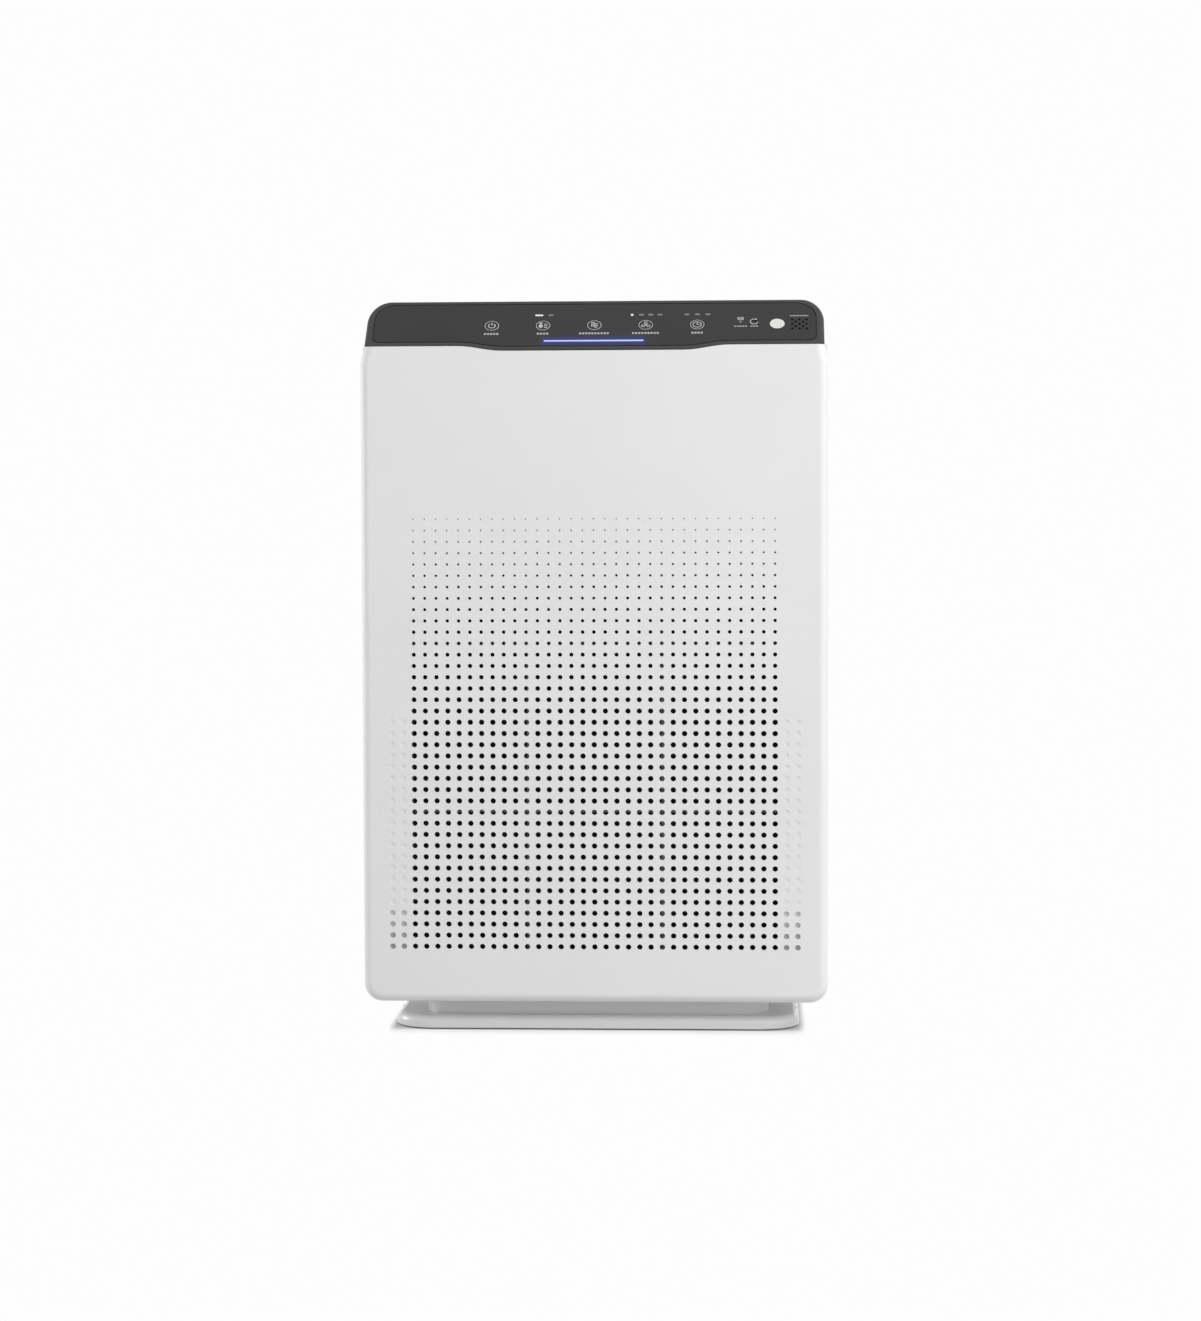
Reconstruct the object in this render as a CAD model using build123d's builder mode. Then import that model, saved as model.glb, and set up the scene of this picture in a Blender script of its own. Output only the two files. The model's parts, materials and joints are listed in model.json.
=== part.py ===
from build123d import *
import os
from math import cos, radians, sin, tan

# Free-standing room air purifier: a white box on a low base, with a slanted dark
# control panel, a perforated swing-open front, a filter bay and a centrifugal fan.
# X runs to the right, the front faces -Y, Z is up; the origin is on the floor
# under the middle of the body. Millimetres throughout.

os.makedirs("parts", exist_ok=True)

# Overall size
body_width = 380.0
body_depth = 208.0
total_height = 600.0
wall = 3.0
corner_radius = 15.0
front_edge_radius = 7.0
rear_edge_radius = 10.0
seam = 0.6

# Base
base_height = 25.0
base_width = 335.0
base_depth = 178.0
base_corner = 32.0
base_top = 11.5
base_wall = 3.0
base_edge = 6.0
neck_width = 284.0
neck_depth = 150.0
foot_diameter = 20.0
foot_height = 2.5
floor_gap = 1.0

# Front panel and its perforation
panel_depth = 24.0
panel_wall = 2.6
hole_pitch = 9.2
hole_columns = 33
hole_rows = 39
small_hole = 1.03
hole_growth = 0.194
large_hole = 4.45
bottom_row = 46.0
edge_columns = 2
dimple_depth = 0.4
deep_dimple_rows = 4
deep_dimple_depth = 1.9
panel_corner_wide = 3.2
panel_corner_high = 14.0
hinge_spread = 120.0
lug_radius = 4.0
pivot_back = 27.0
pivot_rise = 7.5
pin_diameter = 5.0
pin_gap = 0.25
catch_spread = 150.0
catch_rise = 500.0

# Dark top cover and control panel
cap_height = 38.5
cap_corner = 19.0
cap_inset = 2.6
cap_wall = 2.6
slope_angle = 44.0
slope_wall = 4.0
cap_front_inset = 2.0
chin_drop = 4.0
chin_width = 160.0
chin_ramp = 24.0
overlay_side = 6.2
overlay_gap = 0.8
overlay_thickness = 1.2
key_diameter = 12.6
key_gap = 0.3
key_travel = 0.5
key_spacing = 42.0
key_height = 29.7

# Filters
filter_width = 331.0
filter_height = 414.0
filter_rise = 18.0
prefilter_depth = 10.0
carbon_depth = 6.0
hepa_depth = 38.0
seal_depth = 4.0
pleat_count = 46
bay_gap = 1.5
bay_wall = 2.5

# Fan and air outlet
fan_height = 257.0
impeller_radius = 104.0
blade_inner_radius = 86.0
blade_count = 38
impeller_width = 60.0
volute_start = 122.0
volute_growth = 14.0
scroll_wall = 2.5
inlet_radius = 95.0
outlet_width = 304.0
outlet_depth = 84.0
motor_radius = 43.0
shaft_radius = 4.0

# Places that follow from the sizes above
half_width = body_width / 2
y_front = -body_depth / 2
y_rear = body_depth / 2
z_body = base_height
z_seam = total_height - cap_height
panel_back = y_front + panel_depth
house_front = panel_back + seam
house_back = y_front + 144
pivot_y = y_front + pivot_back
pivot_z = z_body + pivot_rise
catch_z = z_body + catch_rise
bay_bottom = z_body + filter_rise
bay_width = filter_width + 2 * bay_gap
bay_height = filter_height + bay_gap
bay_top = bay_bottom + bay_height
bay_front = panel_back - 6
prefilter_front = y_front + 16
carbon_front = prefilter_front + prefilter_depth + 0.5
hepa_front = carbon_front + carbon_depth + 0.5
seal_front = hepa_front + hepa_depth
ledge_front = seal_front + seal_depth
partition_front = ledge_front + 17
partition_back = partition_front + wall
impeller_front = partition_back + 12
impeller_back = impeller_front + impeller_width
scroll_back = impeller_back + 11
plate_back = scroll_back + wall
cap_half = half_width - cap_inset
cap_front = y_front + cap_front_inset
cap_back = y_rear - cap_inset
slope_foot = z_seam - chin_drop + 0.5
slope_length = (total_height - slope_foot) / sin(radians(slope_angle))
slope_chin = chin_drop / sin(radians(slope_angle))
control_plane = Plane(
    origin=(0, cap_front, slope_foot),
    x_dir=(1, 0, 0),
    z_dir=(0, -sin(radians(slope_angle)), cos(radians(slope_angle))),
)
fan_axis = Axis((0, 0, fan_height), (0, 1, 0))
fan_plane = Plane.XY.offset(fan_height)
outlet_y = (partition_back + scroll_back) / 2
volute_x = volute_growth / 2
volute_z = fan_height - volute_growth / 2
volute_left = volute_x - volute_start - 3 * volute_growth
duct_half = outlet_width / 2 - 2
ion_z = z_seam - 110
key_places = [(-2 + n) * key_spacing for n in range(5)]
base_screw_x = neck_width / 2 - 30
base_screw_y = neck_depth / 2 - 22
base_screw_places = [(x, y) for x in (-base_screw_x, base_screw_x) for y in (-base_screw_y, base_screw_y)]


def upright(y):
    """Plane that faces the front, at depth y: its x is X and its y is Z."""
    return Plane.XZ.offset(-y)


def chin_line(half, high, low, flat, ramp):
    """Points of an edge that dips in the middle, from right to left."""
    return [
        (half, high),
        (flat / 2 + ramp, high),
        (flat / 2, low),
        (-flat / 2, low),
        (-flat / 2 - ramp, high),
        (-half, high),
    ]


def is_chin(vertex):
    return abs(vertex.X) < chin_width / 2 + chin_ramp + 1


# Outline of the white body in the front view, and the same inside its walls
with BuildSketch() as body_outline:
    with Locations((0, z_body)):
        Rectangle(body_width, z_seam - z_body, align=(Align.CENTER, Align.MIN))
    fillet(body_outline.vertices().group_by(Axis.Y)[0], corner_radius)

with BuildSketch() as body_inside:
    with Locations((0, z_body + wall)):
        Rectangle(body_width - 2 * wall, z_seam - z_body, align=(Align.CENTER, Align.MIN))
    fillet(body_inside.vertices().group_by(Axis.Y)[0], corner_radius - wall)

# Front panel: a shallow tray whose top edge dips below the control panel,
# perforated by a square grid of holes that grow downwards
panel_top = z_seam - seam
with BuildPart() as front_panel:
    with BuildSketch(upright(panel_back)) as tray_outline:
        with BuildLine():
            side_top = panel_top - panel_corner_high
            top_half = half_width - panel_corner_wide
            edge = chin_line(top_half, panel_top, panel_top - chin_drop, chin_width, chin_ramp)
            Polyline(
                (-half_width, side_top),
                (-half_width, z_body),
                (half_width, z_body),
                (half_width, side_top),
                *edge,
                close=True,
            )
        make_face()
        fillet(tray_outline.vertices().group_by(Axis.Y)[0], corner_radius)
        fillet(tray_outline.vertices().filter_by(is_chin), 90)
    extrude(amount=panel_depth)
    face = front_panel.faces().sort_by(Axis.Y)[0]
    fillet(face.edges().filter_by(lambda e: e.center().Z < panel_top - chin_drop - 1), front_edge_radius)
    offset(amount=-panel_wall, openings=front_panel.faces().sort_by(Axis.Y)[-1])
    # hinge lugs with their pins, on the bottom wall
    for side in (-1, 1):
        with BuildSketch(Plane.YZ.offset(side * hinge_spread)):
            with Locations((pivot_y, pivot_z)):
                Circle(lug_radius)
            with BuildLine():
                Polyline(
                    (pivot_y, pivot_z + lug_radius),
                    (pivot_y - 18, pivot_z + lug_radius),
                    (pivot_y - 18, z_body + panel_wall - 0.6),
                    (pivot_y - 9, z_body + panel_wall - 0.6),
                    (pivot_y - 0.7 * lug_radius, pivot_z - 0.7 * lug_radius),
                    close=True,
                )
            make_face()
        extrude(amount=3, both=True)
        with BuildSketch(Plane.YZ.offset(side * hinge_spread)):
            with Locations((pivot_y, pivot_z)):
                Circle(pin_diameter / 2)
        extrude(amount=10, both=True)
    # bosses that carry the catch studs, and the blade that works the safety switch
    with BuildSketch(upright(y_front + panel_wall + 8)):
        with Locations((-catch_spread, catch_z), (catch_spread, catch_z)):
            Circle(7)
    extrude(amount=8.5)
    with BuildSketch(upright(house_front + wall + 4)):
        with Locations((0, catch_z)):
            Rectangle(2.4, 14)
    extrude(amount=house_front + wall + 4 - y_front - panel_wall + 0.5)
    # rows whose holes still grow, then the block of full-size rows
    growing = int((large_hole - small_hole) / hole_growth) + 1
    field_bottom = z_body + bottom_row
    field_top = field_bottom + (hole_rows - 1) * hole_pitch
    full_rows = hole_rows - growing
    # the outer columns are blind dimples, deeper in the lowest rows
    dimple_rows = full_rows - deep_dimple_rows
    deep_middle = field_bottom + (deep_dimple_rows - 1) * hole_pitch / 2
    dimple_middle = field_bottom + (full_rows + deep_dimple_rows - 1) * hole_pitch / 2
    dimple_x = (hole_columns + edge_columns) / 2 * hole_pitch
    for rows, middle, depth in (
        (dimple_rows, dimple_middle, dimple_depth),
        (deep_dimple_rows, deep_middle, deep_dimple_depth),
    ):
        with BuildSketch(upright(y_front + depth)):
            with Locations((-dimple_x, middle), (dimple_x, middle)):
                with GridLocations(hole_pitch, hole_pitch, edge_columns, rows):
                    Circle(large_hole / 2)
        extrude(amount=depth + 1, mode=Mode.SUBTRACT)
    with BuildSketch(upright(y_front + panel_wall + 1)):
        for row in range(growing):
            with Locations((0, field_top - row * hole_pitch)):
                with GridLocations(hole_pitch, hole_pitch, hole_columns, 1):
                    Circle((small_hole + row * hole_growth) / 2)
        with Locations((0, field_bottom + (full_rows - 1) * hole_pitch / 2)):
            with GridLocations(hole_pitch, hole_pitch, hole_columns, full_rows):
                Circle(large_hole / 2)
    extrude(amount=panel_wall + 2, mode=Mode.SUBTRACT)
front_panel.part.label = "front_panel"

# Ball-ended catch studs on the panel
with BuildPart() as catch_studs:
    for side in (-1, 1):
        with BuildSketch(Plane.XY.offset(catch_z)):
            with BuildLine():
                foot_y = y_front + panel_wall + 8
                tip_y = house_front + wall + 8
                Polyline(
                    (side * catch_spread, foot_y),
                    (side * (catch_spread + 5), foot_y),
                    (side * (catch_spread + 5), foot_y + 2),
                    (side * (catch_spread + 2.6), foot_y + 4),
                    (side * (catch_spread + 2.6), tip_y - 8),
                    (side * (catch_spread + 3.8), tip_y - 5),
                    (side * (catch_spread + 3.8), tip_y - 3),
                    (side * (catch_spread + 2), tip_y),
                    (side * catch_spread, tip_y),
                    close=True,
                )
            make_face()
        revolve(axis=Axis((side * catch_spread, 0, catch_z), (0, 1, 0)))
catch_studs.part.label = "catch_studs"

# Main housing: outer walls, front flange, filter bay, fan partition
bay_outer = bay_width + 2 * bay_wall
bay_middle = bay_bottom + bay_height / 2
boss_places = [(side * (half_width - 18), y) for side in (-1, 1) for y in (house_front + 16, house_back - 20)]
screw_places = [(side * (half_width - 14), z_body + rise) for side in (-1, 1) for rise in (37, 267, 497)]
scroll_ears = [
    (volute_x + volute_start + scroll_wall + 6, volute_z),
    (volute_x - volute_growth, volute_z - volute_start - volute_growth - scroll_wall - 6),
    (volute_left - scroll_wall - 5, fan_height + 75),
    (duct_half + scroll_wall + 6, z_seam - 24),
]
with BuildPart() as main_housing:
    with BuildSketch(upright(house_back)):
        add(body_outline.sketch)
    extrude(amount=house_back - house_front)
    with BuildSketch(upright(house_back)):
        add(body_inside.sketch)
    extrude(amount=house_back - house_front - wall, mode=Mode.SUBTRACT)
    # the bay is a tunnel through the flange, closed behind by the fan partition
    with BuildSketch(upright(partition_back)):
        with Locations((0, bay_middle)):
            Rectangle(bay_outer, bay_height + 2 * bay_wall)
    extrude(amount=partition_back - bay_front)
    with BuildSketch(upright(partition_back)):
        with Locations((0, bay_top)):
            Rectangle(bay_outer, z_seam - bay_top, align=(Align.CENTER, Align.MIN))
    extrude(amount=wall)
    with BuildSketch(upright(partition_front)):
        with Locations((0, bay_middle)):
            Rectangle(bay_width, bay_height)
    extrude(amount=partition_front - bay_front + 1, mode=Mode.SUBTRACT)
    # ledge that the filter seal presses on
    with BuildSketch(upright(partition_front)):
        with Locations((0, bay_middle)):
            Rectangle(bay_width, bay_height)
            Rectangle(bay_width - 20, bay_height - 20, mode=Mode.SUBTRACT)
    extrude(amount=partition_front - ledge_front)
    # bosses for the scroll screws, then the fan inlet
    with BuildSketch(upright(partition_front)):
        with Locations(*scroll_ears):
            Circle(4.5)
    extrude(amount=8)
    with BuildSketch(upright(partition_back)):
        with Locations((0, fan_height)):
            Circle(inlet_radius)
    extrude(amount=wall, mode=Mode.SUBTRACT)
    with BuildSketch(upright(partition_back)):
        with Locations(*scroll_ears):
            Circle(1.8)
    extrude(amount=wall + 6, mode=Mode.SUBTRACT)
    # bosses on the floor for the base's screws
    with BuildSketch(Plane.XY.offset(z_body)):
        with Locations(*[place for place in base_screw_places if place[1] < 0]):
            Circle(4.5)
    extrude(amount=10)
    with BuildSketch(Plane.XY.offset(z_body)):
        with Locations(*[place for place in base_screw_places if place[1] < 0]):
            Circle(1.8)
    extrude(amount=9, mode=Mode.SUBTRACT)
    # bosses behind the side walls for the rear cover's screws
    with BuildSketch(upright(house_back)):
        for x, z in screw_places:
            with Locations((x, z)):
                Rectangle(22.2, 14)
        add(body_inside.sketch, mode=Mode.INTERSECT)
    extrude(amount=25)
    with BuildSketch(upright(house_back)):
        with Locations(*screw_places):
            Circle(1.8)
    extrude(amount=20, mode=Mode.SUBTRACT)
    # tabs under the top cover's screw bosses
    for x, y in boss_places:
        with BuildSketch(Plane.XY.offset(z_seam - 8)):
            with Locations((x, y)):
                Rectangle(32, 14)
                Circle(2.1, mode=Mode.SUBTRACT)
        extrude(amount=3)
    # open foot of the flange, in front of the hinge
    with BuildSketch(upright(house_front + wall)):
        with Locations((0, z_body + wall)):
            foot_opening = bay_bottom - bay_wall - z_body - wall
            Rectangle(2 * hinge_spread + 60, foot_opening, align=(Align.CENTER, Align.MIN))
    extrude(amount=wall, mode=Mode.SUBTRACT)
    # the bottom edge falls back so that the panel can tilt
    with BuildSketch(Plane.YZ):
        with BuildLine():
            Polyline(
                (house_front - 1, z_body - 1),
                (house_front + 4, z_body - 1),
                (house_front, z_body + 14),
                (house_front - 1, z_body + 14),
                close=True,
            )
        make_face()
    extrude(amount=half_width + 1, both=True, mode=Mode.SUBTRACT)
    # upward-open cradles for the hinge pins
    for side in (-1, 1):
        for edge_x in (-8, 8):
            with BuildSketch(Plane.YZ.offset(side * hinge_spread + edge_x)):
                with Locations((pivot_y, z_body + wall)):
                    Rectangle(10, pivot_rise - wall + 1.5, align=(Align.CENTER, Align.MIN))
                with Locations((pivot_y, pivot_z)):
                    Circle(pin_diameter / 2 + pin_gap, mode=Mode.SUBTRACT)
                    slot = pin_diameter + 2 * pin_gap
                    Rectangle(slot, 12, align=(Align.CENTER, Align.MIN), mode=Mode.SUBTRACT)
            extrude(amount=3, both=True)
            with BuildSketch(Plane.YZ.offset(side * hinge_spread + edge_x)):
                with Locations((pivot_y + 2, z_body + wall - 1)):
                    Rectangle(12, 1.2, align=(Align.MIN, Align.MIN))
            extrude(amount=3, both=True)
    # holes for the catches and the switch blade
    with BuildSketch(upright(house_front + wall)):
        with Locations((-catch_spread, catch_z), (catch_spread, catch_z)):
            Circle(7.2)
        with Locations((0, catch_z)):
            Rectangle(6, 18)
    extrude(amount=wall, mode=Mode.SUBTRACT)
main_housing.part.label = "main_housing"

# Catch sockets behind the flange
with BuildPart() as panel_catches:
    with BuildSketch(upright(house_front + wall)):
        with Locations((-catch_spread, catch_z), (catch_spread, catch_z)):
            Circle(7)
    extrude(amount=wall)
    with BuildSketch(upright(house_front + wall + 9)):
        with Locations((-catch_spread, catch_z), (catch_spread, catch_z)):
            Circle(9)
    extrude(amount=9)
    with BuildSketch(upright(house_front + wall + 9)):
        with Locations((-catch_spread, catch_z), (catch_spread, catch_z)):
            Circle(4.6)
    extrude(amount=9 + wall, mode=Mode.SUBTRACT)
panel_catches.part.label = "panel_catches"

# Safety switch that the panel's blade closes
with BuildPart() as interlock_switch:
    with BuildSketch(upright(house_front + wall + 18)):
        with Locations((0, catch_z)):
            Rectangle(12, 28)
    extrude(amount=18)
    with BuildSketch(upright(house_front + wall + 10)):
        with Locations((0, catch_z)):
            Rectangle(5, 18)
    extrude(amount=10, mode=Mode.SUBTRACT)
    fillet(interlock_switch.edges().filter_by(Axis.Y).group_by(Axis.Z)[-1], 1.5)
interlock_switch.part.label = "interlock_switch"

# Rear cover: a dish with rounded edges, a hand grip and deep screw wells
grip_z = z_body + 480
gland_x = half_width - 48
gland_z = z_body + 30
with BuildPart() as rear_cover:
    with BuildSketch(upright(y_rear)):
        add(body_outline.sketch)
    extrude(amount=y_rear - house_back)
    back = rear_cover.faces().sort_by(Axis.Y)[-1]
    fillet(back.edges().filter_by(lambda e: e.center().Z < z_seam - 20), rear_edge_radius)
    open_faces = [rear_cover.faces().sort_by(Axis.Y)[0], rear_cover.faces().sort_by(Axis.Z)[-1]]
    offset(amount=-wall, openings=open_faces)
    # screw wells
    with BuildSketch(upright(y_rear - wall / 2)):
        with Locations(*screw_places):
            Rectangle(17, 14)
    extrude(amount=y_rear - wall / 2 - house_back)
    with BuildSketch(upright(y_rear)):
        with Locations(*screw_places):
            Circle(4.2)
    extrude(amount=y_rear - house_back - 12, mode=Mode.SUBTRACT)
    with BuildSketch(upright(house_back + 13)):
        with Locations(*screw_places):
            Circle(2)
    extrude(amount=14, mode=Mode.SUBTRACT)
    # bosses on the floor for the base's screws
    with BuildSketch(Plane.XY.offset(z_body)):
        with Locations(*[place for place in base_screw_places if place[1] > 0]):
            Circle(4.5)
    extrude(amount=10)
    with BuildSketch(Plane.XY.offset(z_body)):
        with Locations(*[place for place in base_screw_places if place[1] > 0]):
            Circle(1.8)
    extrude(amount=9, mode=Mode.SUBTRACT)
    # hand grip
    with BuildSketch(upright(y_rear - 1)):
        with Locations((0, grip_z)):
            RectangleRounded(140, 50, 14)
    extrude(amount=21)
    with BuildSketch(upright(y_rear)):
        with Locations((0, grip_z)):
            RectangleRounded(135, 45, 11.5)
    extrude(amount=19.5, mode=Mode.SUBTRACT)
    mouth = rear_cover.edges().group_by(Axis.Y)[-1]
    fillet(mouth.filter_by(lambda e: abs(e.center().X) < 70 and e.center().Z > grip_z - 30), 2)
    # seat of the cord gland
    with BuildSketch(upright(y_rear - 1)):
        with Locations((gland_x, gland_z)):
            Circle(17)
    extrude(amount=7)
    with BuildSketch(upright(y_rear)):
        with Locations((gland_x, gland_z)):
            Circle(13)
    extrude(amount=4, mode=Mode.SUBTRACT)
    with BuildSketch(upright(y_rear)):
        with Locations((gland_x, gland_z)):
            Circle(7)
    extrude(amount=9, mode=Mode.SUBTRACT)
rear_cover.part.label = "rear_cover"

with BuildPart() as cord_gland:
    with BuildSketch(upright(y_rear - 1)):
        with Locations((gland_x, gland_z)):
            Circle(12.6)
    extrude(amount=3)
    with BuildSketch(upright(y_rear - 4)):
        with Locations((gland_x, gland_z)):
            Circle(6.8)
    extrude(amount=10)
    fillet(cord_gland.edges().group_by(Axis.Y)[-1], 1)
    with BuildSketch(upright(y_rear)):
        with Locations((gland_x, gland_z)):
            Circle(3.5)
    extrude(amount=16, mode=Mode.SUBTRACT)
cord_gland.part.label = "cord_gland"

with BuildPart() as rear_cover_screws:
    with BuildSketch(upright(house_back + 15)):
        with Locations(*screw_places):
            Circle(3.7)
    extrude(amount=3)
    with BuildSketch(upright(house_back + 12)):
        with Locations(*screw_places):
            Circle(1.7)
    extrude(amount=30)
rear_cover_screws.part.label = "rear_cover_screws"

# Top cover: dark hood with the slanted control face and the outlet opening
overlay_half = cap_half - overlay_side
overlay_low = 3.6
overlay_high = slope_length - 3.5
light_bar_height = 10.4
sensor_x = 149.2
vent_x = 167.2
vent_pitch = 5.8
vent_rows = 5
vent_places = [
    (vent_x + vent_pitch * (n - 1 + (row % 2) / 2), key_height + 2.8 * (row - 2))
    for row in range(vent_rows)
    for n in range(3 - row % 2)
]
mode_lights = [(-key_spacing - 3.7, 42.5), (-key_spacing + 6, 42.5)]
speed_lights = [(key_spacing + (n - 1.5) * 7.6, 42.5) for n in range(4)]
timer_lights = [(2 * key_spacing + (n - 1) * 8.6, 42.5) for n in range(3)]
light_places = mode_lights + speed_lights + timer_lights + [(119.4, 33)]
reset_place = (130.4, 33.0)
with BuildSketch() as overlay_outline:
    with BuildLine():
        lower = overlay_low + slope_chin
        edge = chin_line(overlay_half, lower, overlay_low, chin_width, chin_ramp)
        Polyline((-overlay_half, overlay_high), (overlay_half, overlay_high), *edge, close=True)
    make_face()
    fillet(overlay_outline.vertices().group_by(Axis.Y)[-1], 18)
    fillet(overlay_outline.vertices().filter_by(is_chin), 70)
    fillet(overlay_outline.vertices().filter_by(lambda v: abs(v.X) > overlay_half - 1 and v.Y < 20), 6)

with BuildPart() as cap_cavity:
    with BuildSketch(upright(cap_back - cap_wall)) as cavity_outline:
        with Locations((0, z_seam - 1)):
            high = total_height - cap_wall - z_seam + 1
            Rectangle(2 * (cap_half - cap_wall), high, align=(Align.CENTER, Align.MIN))
        fillet(cavity_outline.vertices().group_by(Axis.Y)[-1], cap_corner - cap_wall)
    extrude(amount=cap_back - cap_wall - cap_front)
    split(bisect_by=control_plane.offset(-slope_wall), keep=Keep.BOTTOM)

with BuildPart() as top_cover:
    with BuildSketch(upright(cap_back)) as hood_outline:
        with Locations((0, z_seam)):
            Rectangle(2 * cap_half, cap_height, align=(Align.CENTER, Align.MIN))
        fillet(hood_outline.vertices().group_by(Axis.Y)[-1], cap_corner)
    extrude(amount=cap_back - cap_front)
    # the chin hangs into the dip of the front panel
    with BuildSketch(upright(cap_front + 8)) as chin_outline:
        with BuildLine():
            chin_half = chin_width / 2 + chin_ramp + 20
            edge = chin_line(chin_half, z_seam, z_seam - chin_drop, chin_width, chin_ramp)
            top_edge = [(edge[-1][0], z_seam + 1), (edge[0][0], z_seam + 1)]
            Polyline(*top_edge, *edge, close=True)
        make_face()
        fillet(chin_outline.vertices().filter_by(is_chin), 90)
    extrude(amount=8)
    split(bisect_by=control_plane, keep=Keep.BOTTOM)
    slope = top_cover.faces().filter_by(lambda f: f.normal_at().Y < -0.5 and f.normal_at().Z > 0.5)
    fillet(slope.sort_by(SortBy.AREA)[-1].edges().filter_by(lambda e: e.center().Z > z_seam + 3), 4)
    back = top_cover.faces().sort_by(Axis.Y)[-1]
    fillet(back.edges().filter_by(lambda e: e.center().Z > z_seam + 3), 8)
    add(cap_cavity.part, mode=Mode.SUBTRACT)
    # outlet opening with a seat for the grille and a collar down to the duct
    with BuildSketch(Plane.XY.offset(z_seam + 0.5)):
        with Locations((0, outlet_y)):
            Rectangle(outlet_width + 5, outlet_depth + 5)
    extrude(amount=cap_height - 2)
    with BuildSketch(Plane.XY.offset(z_seam)):
        with Locations((0, outlet_y)):
            Rectangle(outlet_width, outlet_depth)
    extrude(amount=cap_height + 1, mode=Mode.SUBTRACT)
    with BuildSketch(Plane.XY.offset(total_height)):
        with Locations((0, outlet_y)):
            RectangleRounded(outlet_width + 10, outlet_depth + 10, 4)
    extrude(amount=-1.6, mode=Mode.SUBTRACT)
    # screw bosses
    for x, y in boss_places:
        tall = cap_height + 3.5 if y > 0 else cap_height - 5
        with BuildSketch(Plane.XY.offset(z_seam - 5)):
            with Locations((x, y)):
                Circle(4.5)
        extrude(amount=tall)
        with BuildSketch(Plane.XY.offset(z_seam - 5)):
            with Locations((x, y)):
                Circle(1.8)
        extrude(amount=16, mode=Mode.SUBTRACT)
    # posts for the control board
    with BuildSketch(control_plane.offset(-slope_wall + 0.5)):
        with Locations((-118, 20.5), (-118, 47.5), (158, 20.5), (158, 47.5)):
            Circle(2.5)
    extrude(amount=-5.5)
    # recess of the overlay and the openings through the slope
    with BuildSketch(control_plane.offset(-overlay_thickness)):
        add(overlay_outline.sketch)
    extrude(amount=overlay_thickness + 1, mode=Mode.SUBTRACT)
    with BuildSketch(control_plane.offset(-slope_wall - 1)):
        with Locations(*[(x, key_height) for x in key_places]):
            Circle(key_diameter / 2 + key_gap)
        with Locations(reset_place):
            Circle(2 + key_gap)
        with Locations(*light_places):
            Circle(1.3)
        with Locations((0, light_bar_height)):
            RectangleRounded(82.4, 3.4, 1.6)
        with Locations((sensor_x, key_height + 0.6)):
            Circle(3.2)
        with Locations(*vent_places):
            Circle(0.8)
    extrude(amount=slope_wall + 1, mode=Mode.SUBTRACT)
top_cover.part.label = "top_cover"

# Glossy overlay on the slope
with BuildPart() as control_overlay:
    with BuildSketch(control_plane.offset(-overlay_thickness)):
        add(overlay_outline.sketch)
        offset(amount=-overlay_gap, mode=Mode.REPLACE)
    extrude(amount=overlay_thickness)
    with BuildSketch(control_plane.offset(-overlay_thickness)):
        with Locations(*[(x, key_height) for x in key_places]):
            Circle(key_diameter / 2 + key_gap)
        with Locations(reset_place):
            Circle(2 + key_gap)
        with Locations(*light_places):
            Circle(1.3)
        with Locations((0, light_bar_height)):
            RectangleRounded(82.4, 3.4, 1.6)
        with Locations((sensor_x, key_height + 0.6)):
            Circle(6.2)
        with Locations(*vent_places):
            Circle(0.8)
    extrude(amount=overlay_thickness, mode=Mode.SUBTRACT)
control_overlay.part.label = "control_overlay"

# Round keys: a cap in the overlay with a flange under the slope
key_names = ["key_power", "key_mode", "key_ionizer", "key_fan_speed", "key_timer"]
keys = []
for key_x, key_name in zip(key_places, key_names):
    with BuildPart() as key:
        with BuildSketch(control_plane.offset(-slope_wall - 1.2)):
            with Locations((key_x, key_height)):
                Circle(key_diameter / 2)
        extrude(amount=slope_wall + 1.2)
        chamfer(key.edges().sort_by(Axis.Z)[-1], 0.3)
        with BuildSketch(control_plane.offset(-slope_wall - 1.2)):
            with Locations((key_x, key_height)):
                Circle(key_diameter / 2 + 1.6)
        extrude(amount=1.1)
    key.part.label = key_name
    keys.append(key)

with BuildPart() as key_reset:
    with BuildSketch(control_plane.offset(-slope_wall - 1.2)):
        with Locations(reset_place):
            Circle(2)
    extrude(amount=slope_wall + 0.6)
    with BuildSketch(control_plane.offset(-slope_wall - 1.2)):
        with Locations(reset_place):
            Circle(3.4)
    extrude(amount=1.1)
key_reset.part.label = "key_reset"

# Light guide of the status bar, sensor window and small indicator windows
with BuildPart() as light_bar_lens:
    with BuildSketch(control_plane.offset(-slope_wall)):
        with Locations((0, light_bar_height)):
            RectangleRounded(82, 3, 1.4)
    extrude(amount=slope_wall)
    with BuildSketch(control_plane.offset(-slope_wall - 2)):
        with Locations((0, light_bar_height + 3.2)):
            Rectangle(90, 12)
    extrude(amount=2)
light_bar_lens.part.label = "light_bar_lens"

with BuildPart() as light_sensor_lens:
    with BuildSketch(control_plane.offset(-overlay_thickness)):
        with Locations((sensor_x, key_height + 0.6)):
            Circle(6)
    extrude(amount=overlay_thickness)
    with BuildSketch(control_plane.offset(-slope_wall - 1)):
        with Locations((sensor_x, key_height + 0.6)):
            Circle(3)
    extrude(amount=slope_wall)
light_sensor_lens.part.label = "light_sensor_lens"

board_depth = slope_wall + 5
with BuildPart() as indicator_windows:
    with BuildSketch(control_plane.offset(-slope_wall - 2)):
        with Locations(*light_places):
            Circle(1.2)
    extrude(amount=slope_wall + 2)
indicator_windows.part.label = "indicator_windows"

# Control board under the slope with its switches, lamps and sensors
with BuildPart() as control_board:
    with BuildSketch(control_plane.offset(-board_depth - 1.6)):
        with Locations((20, 34)):
            Rectangle(288, 33)
    extrude(amount=1.6)
control_board.part.label = "control_board"

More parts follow.
